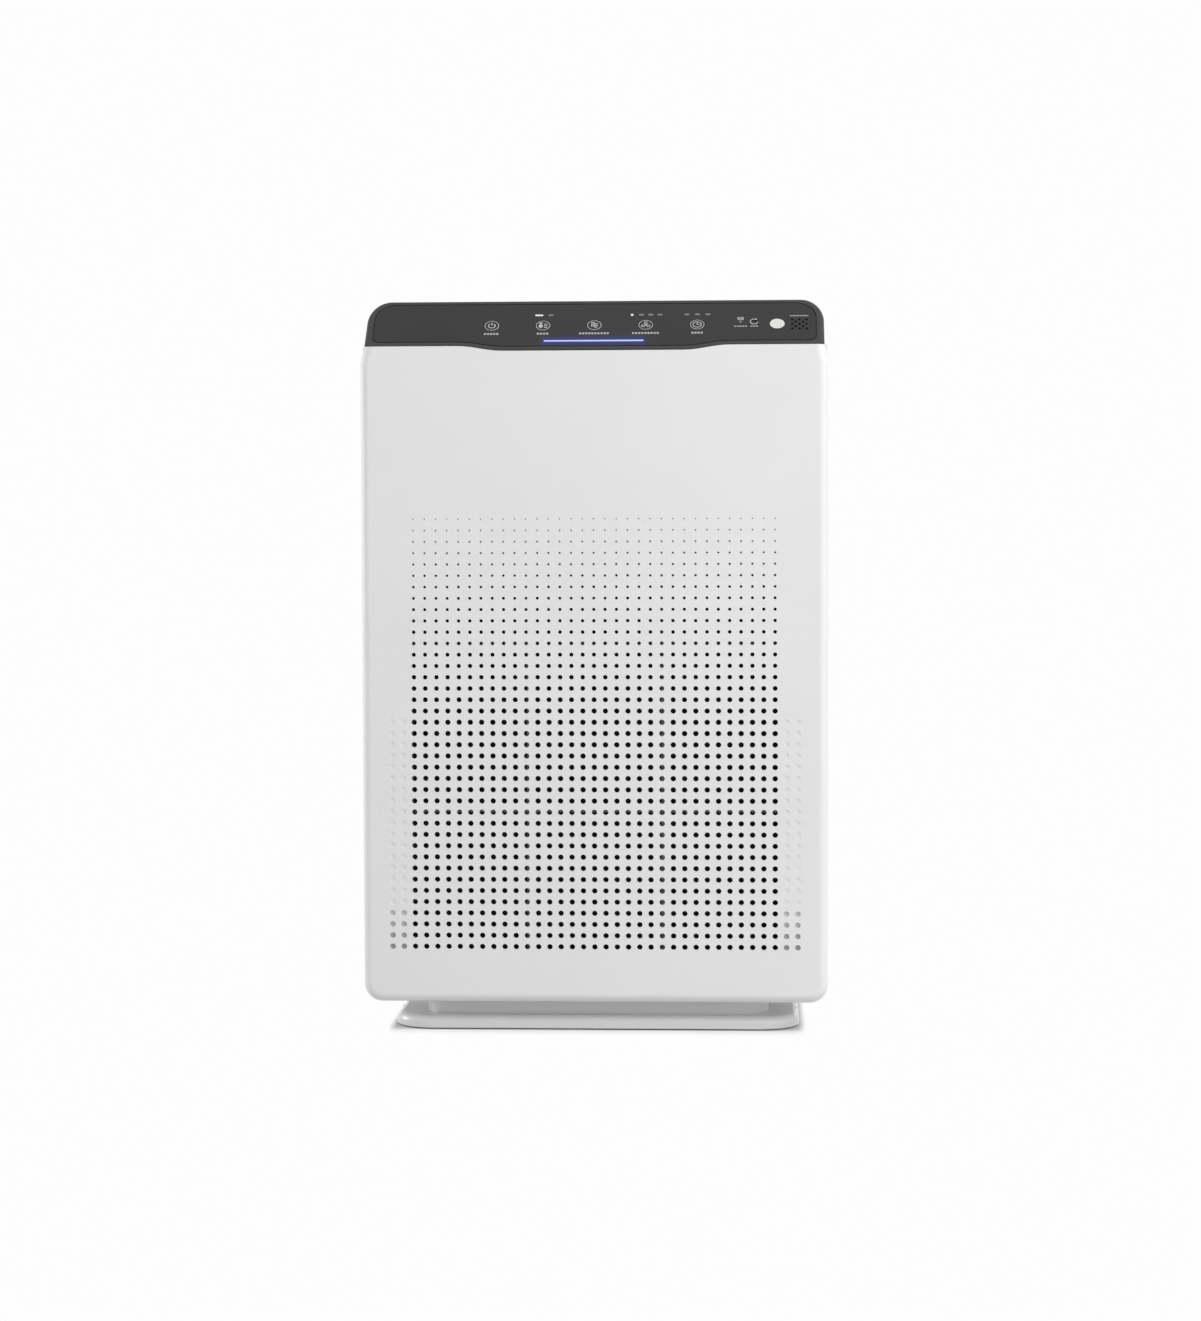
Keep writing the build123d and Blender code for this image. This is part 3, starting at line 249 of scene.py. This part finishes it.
def moulded(name, colour, drift, roughness, grain, relief, shine=0.5):
    """Moulded plastic: a slow drift of tone, uneven satin gloss and the fine grain of the mould."""
    material, tree, shader, where = start_finish(name)
    slow = cloud(tree, where, slow_drift)
    fine = cloud(tree, where, grain, detail=3, rough=0.6)
    tone = shades(tree, slow, tint(colour, 1 - drift), tint(colour, 1 + drift))
    tree.links.new(tone, shader.inputs["Base Color"])
    tree.links.new(spread(tree, fine, *roughness), shader.inputs["Roughness"])
    shader.inputs["Specular IOR Level"].default_value = shine
    emboss(tree, shader, fine, relief, grain_depth)
    return material


def dimpled_panel(name, colour, drift, roughness, grain, relief):
    """White panel moulding, with shade painted into its colour inside the blind dimples of its outer
    columns, most in the lowest.
    """
    material, tree, shader, where = start_finish(name)
    x, y, z = axes(tree, where)
    sideways = reckon(tree, "ABSOLUTE", x)
    far_enough = reckon(tree, "GREATER_THAN", sideways, dimples_from_x)
    not_too_far = reckon(tree, "LESS_THAN", sideways, dimples_to_x)
    column = reckon(tree, "MULTIPLY", far_enough, not_too_far)
    field = reckon(tree, "MULTIPLY", column, reckon(tree, "GREATER_THAN", z, dimples_from_z))
    sunk = spread(tree, y, 0, 1, dimple_mouth_y, dimple_shade_y)
    inside = reckon(tree, "MULTIPLY", field, sunk)
    # Painted shade: the colour is darkened inside the dimples, most in the lowest rows
    low_down = spread(tree, z, dimple_shade, 0.0, darkest_dimple_z, palest_dimple_z)
    painted_shade = reckon(tree, "MULTIPLY", inside, low_down)
    slow = cloud(tree, where, slow_drift)
    fine = cloud(tree, where, grain, detail=3, rough=0.6)
    tone = tree.nodes.new("ShaderNodeVectorMath")
    tone.operation = "SCALE"
    tree.links.new(shades(tree, slow, tint(colour, 1 - drift), tint(colour, 1 + drift)), tone.inputs[0])
    tree.links.new(reckon(tree, "SUBTRACT", 1.0, painted_shade), tone.inputs["Scale"])
    tree.links.new(tone.outputs["Vector"], shader.inputs["Base Color"])
    tree.links.new(spread(tree, fine, *roughness), shader.inputs["Roughness"])
    emboss(tree, shader, fine, relief, grain_depth)
    return material


def steel(name, colour, roughness, streak_scale):
    """Plated or rolled steel with faint streaks."""
    material, tree, shader, where = start_finish(name)
    stretch = tree.nodes.new("ShaderNodeMapping")
    stretch.inputs["Scale"].default_value = (1, 1, 0.15)
    tree.links.new(where, stretch.inputs["Vector"])
    streaks = cloud(tree, stretch.outputs["Vector"], streak_scale, detail=4, rough=0.6)
    tree.links.new(shades(tree, streaks, tint(colour, 0.86), colour), shader.inputs["Base Color"])
    tree.links.new(spread(tree, streaks, *roughness), shader.inputs["Roughness"])
    shader.inputs["Metallic"].default_value = 1.0
    emboss(tree, shader, streaks, strength=0.05, depth=polish_depth)
    return material


def rubbery(name, colour, grain):
    """Soft rubber or foam: dull, with a coarse open grain."""
    material, tree, shader, where = start_finish(name)
    pores = cloud(tree, where, grain, detail=4, rough=0.7)
    tone = shades(tree, pores, tint(colour, 0.75), tint(colour, 1.2))
    tree.links.new(tone, shader.inputs["Base Color"])
    tree.links.new(spread(tree, pores, 0.75, 0.95), shader.inputs["Roughness"])
    shader.inputs["Specular IOR Level"].default_value = 0.25
    emboss(tree, shader, pores, strength=0.35, depth=0.0004)
    return material


def woven_net(name, thread, gap, pitch):
    """Fine square net of the washable pre-filter, with darker gaps between its threads."""
    material, tree, shader, where = start_finish(name)
    x, y, z = axes(tree, where)
    across = reckon(tree, "PINGPONG", reckon(tree, "DIVIDE", x, pitch), 0.5)
    along = reckon(tree, "PINGPONG", reckon(tree, "DIVIDE", z, pitch), 0.5)
    web = reckon(tree, "MINIMUM", across, along)
    thread_edge = {"start": 0.10, "stop": 0.16}
    tree.links.new(shades(tree, web, thread, gap, **thread_edge), shader.inputs["Base Color"])
    tree.links.new(spread(tree, web, 0.55, 0.9, **thread_edge), shader.inputs["Roughness"])
    emboss(tree, shader, reckon(tree, "SUBTRACT", 0.5, web), strength=0.4, depth=0.0003)
    return material


def honeycomb(name, colour):
    """Carbon granules held in cells."""
    material, tree, shader, where = start_finish(name)
    cells = tree.nodes.new("ShaderNodeTexVoronoi")
    cells.inputs["Scale"].default_value = 320
    tree.links.new(where, cells.inputs["Vector"])
    away = cells.outputs["Distance"]
    tone = shades(tree, away, tint(colour, 1.6), tint(colour, 0.5), start=0.1, stop=0.7)
    tree.links.new(tone, shader.inputs["Base Color"])
    tree.links.new(spread(tree, away, 0.6, 0.9), shader.inputs["Roughness"])
    emboss(tree, shader, reckon(tree, "SUBTRACT", 1.0, away), strength=0.5, depth=0.0008)
    return material


def paper(name, colour):
    """Pleated filter paper with its fibres."""
    material, tree, shader, where = start_finish(name)
    fibres = cloud(tree, where, 1500, detail=5, rough=0.7)
    tone = shades(tree, fibres, tint(colour, 0.92), tint(colour, 1.03))
    tree.links.new(tone, shader.inputs["Base Color"])
    tree.links.new(spread(tree, fibres, 0.8, 0.95), shader.inputs["Roughness"])
    shader.inputs["Specular IOR Level"].default_value = 0.2
    emboss(tree, shader, fibres, strength=0.3, depth=0.0003)
    return material


def board(name, colour):
    """Circuit board lacquer with copper tracks showing faintly through."""
    material, tree, shader, where = start_finish(name)
    tracks = tree.nodes.new("ShaderNodeTexBrick")
    tracks.inputs["Scale"].default_value = 140
    tracks.inputs["Mortar Size"].default_value = 0.03
    tracks.inputs["Color1"].default_value = (*colour, 1)
    tracks.inputs["Color2"].default_value = (*tint(colour, 1.25), 1)
    tracks.inputs["Mortar"].default_value = (*tint(colour, 0.6), 1)
    tree.links.new(where, tracks.inputs["Vector"])
    tree.links.new(tracks.outputs["Color"], shader.inputs["Base Color"])
    tree.links.new(spread(tree, cloud(tree, where, 300), 0.3, 0.45), shader.inputs["Roughness"])
    return material


def strip_coordinates(tree, where):
    """How far across the control strip and how far up its slope."""
    turn = tree.nodes.new("ShaderNodeMapping")
    turn.inputs["Rotation"].default_value = (-strip_lean, 0, 0)
    moved = Matrix.Rotation(-strip_lean, 3, "X") @ strip_foot
    turn.inputs["Location"].default_value = -moved
    tree.links.new(where, turn.inputs["Vector"])
    x, y, z = axes(tree, turn.outputs["Vector"])
    return x, y


def from_bar(tree, where):
    """Distance on the strip from the middle line of the status bar, counted faster past its ends."""
    across, up = strip_coordinates(tree, where)
    past_end = reckon(tree, "MULTIPLY", past(tree, across, bar_half_length), end_fade)
    beside = reckon(tree, "SUBTRACT", up, bar_row)
    return distance(tree, past_end, beside)


def control_film(name, colour):
    """Dark control film: smooth and satin, with the status light spreading a little way under it."""
    material, tree, shader, where = start_finish(name)
    fine = cloud(tree, where, 1100, detail=3, rough=0.6)
    tone = shades(tree, cloud(tree, where, 9), tint(colour, 0.94), tint(colour, 1.06))
    tree.links.new(tone, shader.inputs["Base Color"])
    tree.links.new(spread(tree, fine, 0.34, 0.42), shader.inputs["Roughness"])
    shader.inputs["Specular IOR Level"].default_value = 0.28
    emboss(tree, shader, fine, strength=0.03, depth=polish_depth)
    away = from_bar(tree, where)
    glow = shades(tree, away, (0.004, 0.010, 0.155), (0, 0, 0), start=0.0014, stop=0.0062)
    tree.links.new(glow, shader.inputs["Emission Color"])
    shader.inputs["Emission Strength"].default_value = 1.0
    return material


def lit_bar(name):
    """Status bar light guide: near white along its middle, deep blue at its edges."""
    material, tree, shader, where = start_finish(name)
    ramp = tree.nodes.new("ShaderNodeValToRGB")
    ramp.color_ramp.elements[0].position = 0.0
    ramp.color_ramp.elements[0].color = (0.66, 0.74, 1.0, 1)
    ramp.color_ramp.elements[1].position = 1.0
    ramp.color_ramp.elements[1].color = (0.008, 0.016, 0.17, 1)
    between = ramp.color_ramp.elements.new(0.42)
    between.color = (0.36, 0.44, 0.95, 1)
    flank = ramp.color_ramp.elements.new(0.64)
    flank.color = (0.02, 0.035, 0.36, 1)
    away = spread(tree, from_bar(tree, where), 0.0, 1.0, start=0.0, stop=0.0015)
    tree.links.new(away, ramp.inputs["Fac"])
    tree.links.new(ramp.outputs["Color"], shader.inputs["Emission Color"])
    shader.inputs["Emission Strength"].default_value = 1.0
    tone = shades(tree, cloud(tree, where, 200), (0.05, 0.06, 0.12), (0.06, 0.07, 0.15))
    tree.links.new(tone, shader.inputs["Base Color"])
    shader.inputs["Roughness"].default_value = 0.4
    return material


def lamp_window(name, lit_x, reach):
    """Small indicator windows: dull smoke grey, glowing white within reach of lit_x."""
    material, tree, shader, where = start_finish(name)
    across, up = strip_coordinates(tree, where)
    off = reckon(tree, "ABSOLUTE", reckon(tree, "SUBTRACT", across, lit_x))
    near = reckon(tree, "LESS_THAN", off, reach)
    lit = reckon(tree, "MULTIPLY", near, reckon(tree, "GREATER_THAN", up, windows_from_row))
    glow = shades(tree, lit, (0, 0, 0), (0.62, 0.64, 0.66), start=0.2, stop=0.8)
    tree.links.new(glow, shader.inputs["Emission Color"])
    shader.inputs["Emission Strength"].default_value = 1.0
    tone = shades(tree, cloud(tree, where, 800), (0.15, 0.15, 0.155), (0.19, 0.19, 0.195))
    tree.links.new(tone, shader.inputs["Base Color"])
    shader.inputs["Roughness"].default_value = 0.45
    return material


def ink(name, level, drift, roughness=(0.5, 0.6), shine=0.5):
    """Printed ink of a plain grey."""
    return moulded(name, (level, level, level), drift, roughness, grain=1500, relief=0.05, shine=shine)


# Each colour and finish of the object

shell_white = (0.80, 0.805, 0.80)
hood_dark = (0.036, 0.036, 0.037)
film_dark = (0.019, 0.019, 0.020)
satin = (0.36, 0.46)
dull_satin = (0.5, 0.6)

white_shell = moulded(
    "white moulded shell", shell_white, drift=0.012, roughness=satin, grain=fine_grain, relief=0.06)
panel_white = dimpled_panel(
    "white perforated panel", shell_white, drift=0.012, roughness=satin, grain=fine_grain, relief=0.06)
base_white = moulded(
    "white base", shell_white, drift=0.012, roughness=(0.12, 0.2), grain=fine_grain, relief=0.03)
dark_shell = moulded(
    "dark hood", hood_dark, drift=0.06, roughness=(0.50, 0.60), grain=fine_grain, relief=0.10, shine=0.30)
film = control_film("dark control film", film_dark)
key_cap = moulded(
    "dark key cap", film_dark, drift=0.05, roughness=(0.36, 0.44), grain=1100, relief=0.04, shine=0.28)
pale_print = ink("pale print", 0.50, drift=0.08)
caption_print = ink("caption print", 0.40, drift=0.10)
dim_print = ink("dim print", 0.20, drift=0.10)
black_print = ink("black print", 0.004, drift=0.10, roughness=(0.6, 0.7), shine=0.1)
status_light = lit_bar("status light guide")
sensor_white = moulded(
    "milky sensor window", (0.66, 0.66, 0.65), drift=0.03, roughness=(0.3, 0.4), grain=700, relief=0.05)
lamps = lamp_window("indicator windows", lit_lamp_x, reach=0.0016)
lit_print = lamp_window("lit mark", lit_mode_x, reach=0.0040)
lacquer = board("green board lacquer", (0.02, 0.11, 0.05))
parts_plastic = moulded(
    "component plastic", (0.05, 0.05, 0.055), drift=0.2, roughness=(0.4, 0.6), grain=400, relief=0.1)
outlet_dark = moulded(
    "dark outlet slats", hood_dark, drift=0.06, roughness=(0.42, 0.52), grain=fine_grain, relief=0.10)
filter_white = moulded(
    "filter frame white", (0.62, 0.63, 0.63), drift=0.03, roughness=dull_satin, grain=800, relief=0.10)
net = woven_net("pre-filter net", (0.03, 0.03, 0.032), (0.008, 0.008, 0.008), pitch=0.0011)
carbon = honeycomb("carbon granules", (0.02, 0.02, 0.021))
pleats = paper("pleated filter paper", (0.74, 0.74, 0.71))
foam = rubbery("seal foam", (0.05, 0.05, 0.052), grain=500)
inner_grey = moulded(
    "inner moulding", (0.22, 0.225, 0.23), drift=0.04, roughness=dull_satin, grain=700, relief=0.12)
fan_grey = moulded(
    "fan moulding", (0.10, 0.105, 0.11), drift=0.05, roughness=(0.45, 0.55), grain=700, relief=0.10)
motor_steel = steel("rolled motor steel", (0.52, 0.53, 0.54), roughness=(0.32, 0.48), streak_scale=260)
screw_steel = steel("plated screw steel", (0.58, 0.58, 0.57), roughness=(0.26, 0.40), streak_scale=500)
rubber = rubbery("black rubber", (0.022, 0.022, 0.023), grain=700)

finish_of_slot = {
    "white_shell": white_shell,
    "dark_shell": dark_shell,
    "overlay": film,
    "key_cap": key_cap,
    "light_guide": status_light,
    "sensor_white": sensor_white,
    "indicator": lamps,
    "circuit_board": lacquer,
    "component": parts_plastic,
    "grille": outlet_dark,
    "filter_frame": filter_white,
    "filter_mesh": net,
    "carbon": carbon,
    "pleat_paper": pleats,
    "seal_foam": foam,
    "inner_plastic": inner_grey,
    "fan_plastic": fan_grey,
    "motor_steel": motor_steel,
    "screw_steel": screw_steel,
    "rubber": rubber,
}
slot_of_node = {entry["node"]: entry["material_slot"] for entry in frame["record"]["subparts"]}
finish_of_node = {"base_stand": base_white, "front_panel": panel_white}
for node_name, node in nodes.items():
    node.data.materials.clear()
    node.data.materials.append(finish_of_node.get(node_name, finish_of_slot[slot_of_node[node_name]]))


# The perforated panel, with fewer edges round its small holes

def upper_hole_walls(bm):
    """The edges that run straight through each hole of the rows where the holes grow, hole by hole."""
    holes = {}
    for edge in bm.edges:
        one_end, other_end = (vert.co for vert in edge.verts)
        row = round((one_end.z - lowest_row) / hole_pitch)
        column = round(one_end.x / hole_pitch)
        in_field = full_rows <= row < hole_rows and abs(column) <= last_column
        if in_field and (one_end - other_end).xz.length < same_place:
            middle = (column * hole_pitch, lowest_row + row * hole_pitch)
            holes.setdefault(middle, []).append(edge)
    return holes


def lighter_panel(node, finish):
    """The panel's own shape, with every second edge left out round each small hole."""
    bm = bmesh.new()
    bm.from_mesh(node.data)
    kept_normal = bm.loops.layers.float_vector.new("kept_normal")
    for face, polygon in zip(bm.faces, node.data.polygons):
        for loop, corner in zip(face.loops, polygon.loop_indices):
            loop[kept_normal] = node.data.corner_normals[corner].vector
    bmesh.ops.remove_doubles(bm, verts=bm.verts[:], dist=same_place)
    spare = {}
    for (x, z), walls in upper_hole_walls(bm).items():
        walls.sort(key=lambda edge: math.atan2(edge.verts[0].co.z - z, edge.verts[0].co.x - x))
        for wall in walls[1::2]:
            for vert in wall.verts:
                flat = [edge for edge in vert.link_edges if edge.calc_face_angle() < rim_angle]
                spare.update(dict.fromkeys(flat))
    bmesh.ops.dissolve_edges(bm, edges=list(spare), use_verts=True, use_face_split=False)
    bmesh.ops.triangulate(bm, faces=[face for face in bm.faces if len(face.verts) > 3])
    panel = new_piece(bm, "perforated_panel", finish)
    normals = panel.data.attributes["kept_normal"]
    panel.data.normals_split_custom_set([entry.vector for entry in normals.data])
    panel.data.attributes.remove(panel.data.attributes["kept_normal"])
    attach(panel, "front_panel")
    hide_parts("front_panel")


lighter_panel(nodes["front_panel"], panel_white)


# Printed marks on the control strip: thin flat shapes, each lifted into a film of ink

def settle(bm, name, finish, matrix, body="cabinet"):
    """Turns the drawn flat shape into a thin solid at its place and makes it ride on its body."""
    raised = bmesh.ops.extrude_face_region(bm, geom=bm.faces[:])
    lifted = [part for part in raised["geom"] if isinstance(part, bmesh.types.BMVert)]
    bmesh.ops.translate(bm, verts=lifted, vec=(0, 0, print_thickness))
    bmesh.ops.transform(bm, matrix=matrix, verts=bm.verts[:])
    bmesh.ops.recalc_face_normals(bm, faces=bm.faces[:])
    piece = new_piece(bm, name, finish)
    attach(piece, body)


def dot(bm, radius, x=0.0, y=0.0, segments=20):
    """A flat disc of ink."""
    place = Matrix.Translation((x, y, 0))
    return bmesh.ops.create_circle(bm, cap_ends=True, segments=segments, radius=radius, matrix=place)


def keep_rim(bm, made, width):
    """Leaves of a disc only a stroke of this width along its edge."""
    disc = made["verts"][0].link_faces[:]
    bmesh.ops.inset_region(bm, faces=disc, thickness=width, use_boundary=True, use_even_offset=True)
    bmesh.ops.delete(bm, geom=disc, context="FACES_ONLY")


def ring(bm, radius, width, x=0.0, y=0.0, segments=40):
    """A flat ring of ink."""
    keep_rim(bm, dot(bm, radius, x, y, segments), width)


def petal(bm, reach, length, width, stroke, turn):
    """An oval stroke outline, one blade of the fan sign."""
    stretch = Matrix.Diagonal((length, width, 1, 1))
    place = Matrix.Rotation(turn, 4, "Z") @ Matrix.Translation((reach, 0, 0)) @ stretch
    made = bmesh.ops.create_circle(bm, cap_ends=True, segments=24, radius=0.5, matrix=place)
    keep_rim(bm, made, stroke)


def bar(bm, length, width, x=0.0, y=0.0, turn=0.0, round_off=0.0):
    """A flat stroke of ink, its corners rounded where asked."""
    stretch = Matrix.Diagonal((length, width, 1, 1))
    place = Matrix.Translation((x, y, 0)) @ Matrix.Rotation(turn, 4, "Z") @ stretch
    made = bmesh.ops.create_grid(bm, x_segments=1, y_segments=1, size=0.5, matrix=place)
    if round_off:
        corners = made["verts"]
        bmesh.ops.bevel(
            bm, geom=corners, offset=round_off, segments=4, profile=0.5, affect="VERTICES", material=-1)


def dashes(bm, count, pitch, length, width, round_off, x=0.0, y=0.0):
    """A row of short strokes about x, where words would be."""
    for n in range(count):
        bar(bm, length, width, x + (n - (count - 1) / 2) * pitch, y, round_off=round_off)


def arc(bm, radius, width, start, sweep, x=0.0, y=0.0, steps=28):
    """A flat curved stroke of ink, its angles in degrees."""
    turn = Matrix.Translation((x, y, 0)) @ Matrix.Rotation(math.radians(start), 4, "Z")
    ends = [bm.verts.new(turn @ Vector((radius + side * width / 2, 0, 0))) for side in (-1, 1)]
    edge = bm.edges.new(ends)
    bmesh.ops.spin(
        bm, geom=ends + [edge], cent=(x, y, 0), axis=(0, 0, 1), angle=math.radians(sweep), steps=steps,
        use_duplicate=False)


def power_sign(bm):
    """An open ring with a stroke in its gap."""
    arc(bm, radius=0.0027, width=0.0008, start=125, sweep=290)
    bar(bm, length=0.0030, width=0.0008, y=0.0021, turn=upright, round_off=0.0003)


def mode_sign(bm):
    """A plain figure beside three lines."""
    bar(bm, length=0.0032, width=0.0036, x=-0.0019, y=-0.0008, round_off=0.0008)
    dot(bm, radius=0.0012, x=-0.0019, y=0.0026)
    for row in (-0.0024, -0.0004, 0.0016):
        bar(bm, length=0.0028, width=0.0008, x=0.0022, y=row)


def breeze_sign(bm):
    """Three waves."""
    for row in (-0.0021, 0.0, 0.0021):
        arc(bm, radius=0.0013, width=0.0008, start=15, sweep=150, x=-0.0013, y=row, steps=12)
        arc(bm, radius=0.0013, width=0.0008, start=195, sweep=150, x=0.0013, y=row + 0.0007, steps=12)


def fan_sign(bm):
    """Three blades round a hub."""
    for blade in range(3):
        turn = math.radians(90 + 120 * blade)
        petal(bm, reach=0.0024, length=0.0036, width=0.0027, stroke=0.0006, turn=turn)
    dot(bm, radius=0.0005)


def clock_sign(bm):
    """A dial with two hands."""
    ring(bm, radius=0.0037, width=0.0007)
    bar(bm, length=0.0024, width=0.0007, y=0.0010, turn=upright)
    bar(bm, length=0.0018, width=0.0007, x=0.0010)


sign_of_key = {
    "key_power": power_sign,
    "key_mode": mode_sign,
    "key_ionizer": breeze_sign,
    "key_fan_speed": fan_sign,
    "key_timer": clock_sign,
}
for key, draw in sign_of_key.items():
    bm = bmesh.new()
    ring(bm, key_ring_radius, key_ring_width)
    draw(bm)
    settle(bm, key.replace("key_", "sign_"), pale_print, on_strip(key_x[key], key_row), body=key)

# A row of short dashes stands under each key where its caption goes
for key, length in caption_length.items():
    bm = bmesh.new()
    count = round(length / caption_pitch)
    dashes(bm, count, caption_pitch, length=0.0018, width=0.0023, round_off=0.0005)
    settle(bm, "caption_" + key, caption_print, on_strip(key_x["key_" + key], label_row))

# Marks in the row of the indicator windows: one lit, the rest dim
bm = bmesh.new()
bar(bm, length=0.0066, width=0.0018, round_off=0.0006)
settle(bm, "lit_mode_mark", lit_print, on_strip(lit_mode_x, lamp_row))
for name, places in dim_mark_x.items():
    bm = bmesh.new()
    for x in places:
        bar(bm, length=0.0040, width=0.0018, x=x, round_off=0.0005)
    settle(bm, "dim_marks_" + name, dim_print, on_strip(0, lamp_row))

# Filter sign, the reset arrow, and the captions under both
bm = bmesh.new()
for line in (-0.0014, 0.0, 0.0014):
    bar(bm, length=0.0042, width=0.0006, y=line)
for post in (-0.0021, 0.0021):
    bar(bm, length=0.0034, width=0.0006, x=post, turn=upright)
settle(bm, "sign_filter", pale_print, on_strip(filter_x, filter_row))
bm = bmesh.new()
arc(bm, radius=0.0031, width=0.0007, start=70, sweep=280, steps=24)
dot(bm, radius=0.0013, x=0.0013, y=0.0030, segments=3)
settle(bm, "sign_reset", pale_print, on_strip(reset_x, reset_row))
bm = bmesh.new()
for count, x in ((5, filter_x), (3, reset_x)):
    dashes(bm, count, small_caption_pitch, length=0.0017, width=0.0013, round_off=0.0004,
           x=x, y=small_label_row)
settle(bm, "caption_filter", caption_print, on_strip(0, 0))

# The sensor vent: a thin line over its dots and a dark rim round each dot
bm = bmesh.new()
bar(bm, length=0.0155, width=0.0008, y=0.0103)
settle(bm, "vent_line", caption_print, on_strip(vent_x, key_row))
bm = bmesh.new()
for row in range(vent_rows):
    shorter = row % 2
    y = vent_row_pitch * (row - vent_rows // 2)
    for n in range(vent_columns - shorter):
        x = vent_pitch * (n - vent_columns // 2 + shorter / 2)
        ring(bm, radius=0.00115, width=0.00033, x=x, y=y, segments=20)
settle(bm, "vent_rims", black_print, on_strip(vent_x, key_row))


# Studio: pale floor, white surround, soft lamps

def seen_directly(tree):
    """1 for rays that show the background: from the camera, mirrored or through glass."""
    path = tree.nodes.new("ShaderNodeLightPath")
    first = reckon(tree, "MAXIMUM", path.outputs["Is Camera Ray"], path.outputs["Is Glossy Ray"])
    return reckon(tree, "MAXIMUM", first, path.outputs["Is Transmission Ray"])


def pale_floor(name):
    """Matt floor near the object, where its shadow falls, that fades to plain white farther off."""
    material = bpy.data.materials.new(name)
    material.use_nodes = True
    tree = material.node_tree
    tree.nodes.clear()
    x, y, z = axes(tree, tree.nodes.new("ShaderNodeTexCoord").outputs["Object"])
    beside = reckon(tree, "MULTIPLY", past(tree, x, shadow_half_width), side_fade)
    ahead = past(tree, y, shadow_half_depth)
    open_floor = spread(tree, distance(tree, beside, ahead), 0.0, 1.0, shadow_reach, open_reach)
    shown = seen_directly(tree)
    matt = tree.nodes.new("ShaderNodeBsdfDiffuse")
    tone = shades(tree, shown, floor_for_bounce, floor_as_seen, start=0.0, stop=1.0)
    tree.links.new(tone, matt.inputs["Color"])
    white = tree.nodes.new("ShaderNodeEmission")
    white.inputs["Color"].default_value = plain_white
    white.inputs["Strength"].default_value = white_level
    fade = tree.nodes.new("ShaderNodeMixShader")
    tree.links.new(reckon(tree, "MULTIPLY", open_floor, shown), fade.inputs["Fac"])
    tree.links.new(matt.outputs["BSDF"], fade.inputs[1])
    tree.links.new(white.outputs["Emission"], fade.inputs[2])
    tree.links.new(fade.outputs["Shader"], tree.nodes.new("ShaderNodeOutputMaterial").inputs["Surface"])
    return material


bm = bmesh.new()
bmesh.ops.create_grid(bm, x_segments=1, y_segments=1, size=floor_size)
studio_floor = new_piece(bm, "studio_floor", pale_floor("pale studio floor"))

world = bpy.data.worlds.new("white surround")
scene.world = world
world.use_nodes = True
tree = world.node_tree
surround = tree.nodes["Background"]
surround.inputs["Color"].default_value = plain_white
more_when_seen = reckon(tree, "MULTIPLY", seen_directly(tree), white_level - surround_level)
tree.links.new(reckon(tree, "ADD", more_when_seen, surround_level), surround.inputs["Strength"])


def soft_lamp(name, place, aim, size, power):
    """A large square softbox facing its aim."""
    data = bpy.data.lights.new(name, "AREA")
    data.shape = "SQUARE"
    data.size = size
    data.energy = power
    lamp = bpy.data.objects.new(name, data)
    scene.collection.objects.link(lamp)
    lamp.location = place
    lamp.rotation_euler = (Vector(aim) - Vector(place)).to_track_quat("-Z", "Y").to_euler()


soft_lamp("key_softbox", place=(1.4, -1.4, 2.5), aim=(0, 0, 0.35), size=1.2, power=47)
soft_lamp("fill_softbox", place=(0.8, -2.5, 1.5), aim=(0, 0, 0.35), size=1.6, power=9)
soft_lamp("left_softbox", place=(-2.3, 0.35, 0.55), aim=(0, 0, 0.25), size=1.1, power=21)
soft_lamp("right_softbox", place=(2.1, -0.8, 0.40), aim=(0, 0, 0.15), size=1.1, power=7.5)
soft_lamp("rear_softbox", place=(0.8, 2.6, 1.3), aim=(0, 0, 0.3), size=1.4, power=14)

# Camera at the photograph's viewpoint
camera_data = bpy.data.cameras.new("product_camera")
camera_data.sensor_fit = "VERTICAL"
camera_data.sensor_height = 36
camera_data.lens = 80.17
camera = bpy.data.objects.new("product_camera", camera_data)
scene.collection.objects.link(camera)
place = (0.1232, -2.4915, 0.4183)
forward = Vector((-0.049244, 0.997672, -0.047166))
right = Vector((0.998787, 0.049154, -0.003069))
above = Vector((0.000743, 0.047260, 0.998882))
turned = Matrix((right, above, -forward)).transposed().to_4x4()
camera.matrix_world = Matrix.Translation(place) @ turned
scene.camera = camera
scene.view_settings.view_transform = "Standard"
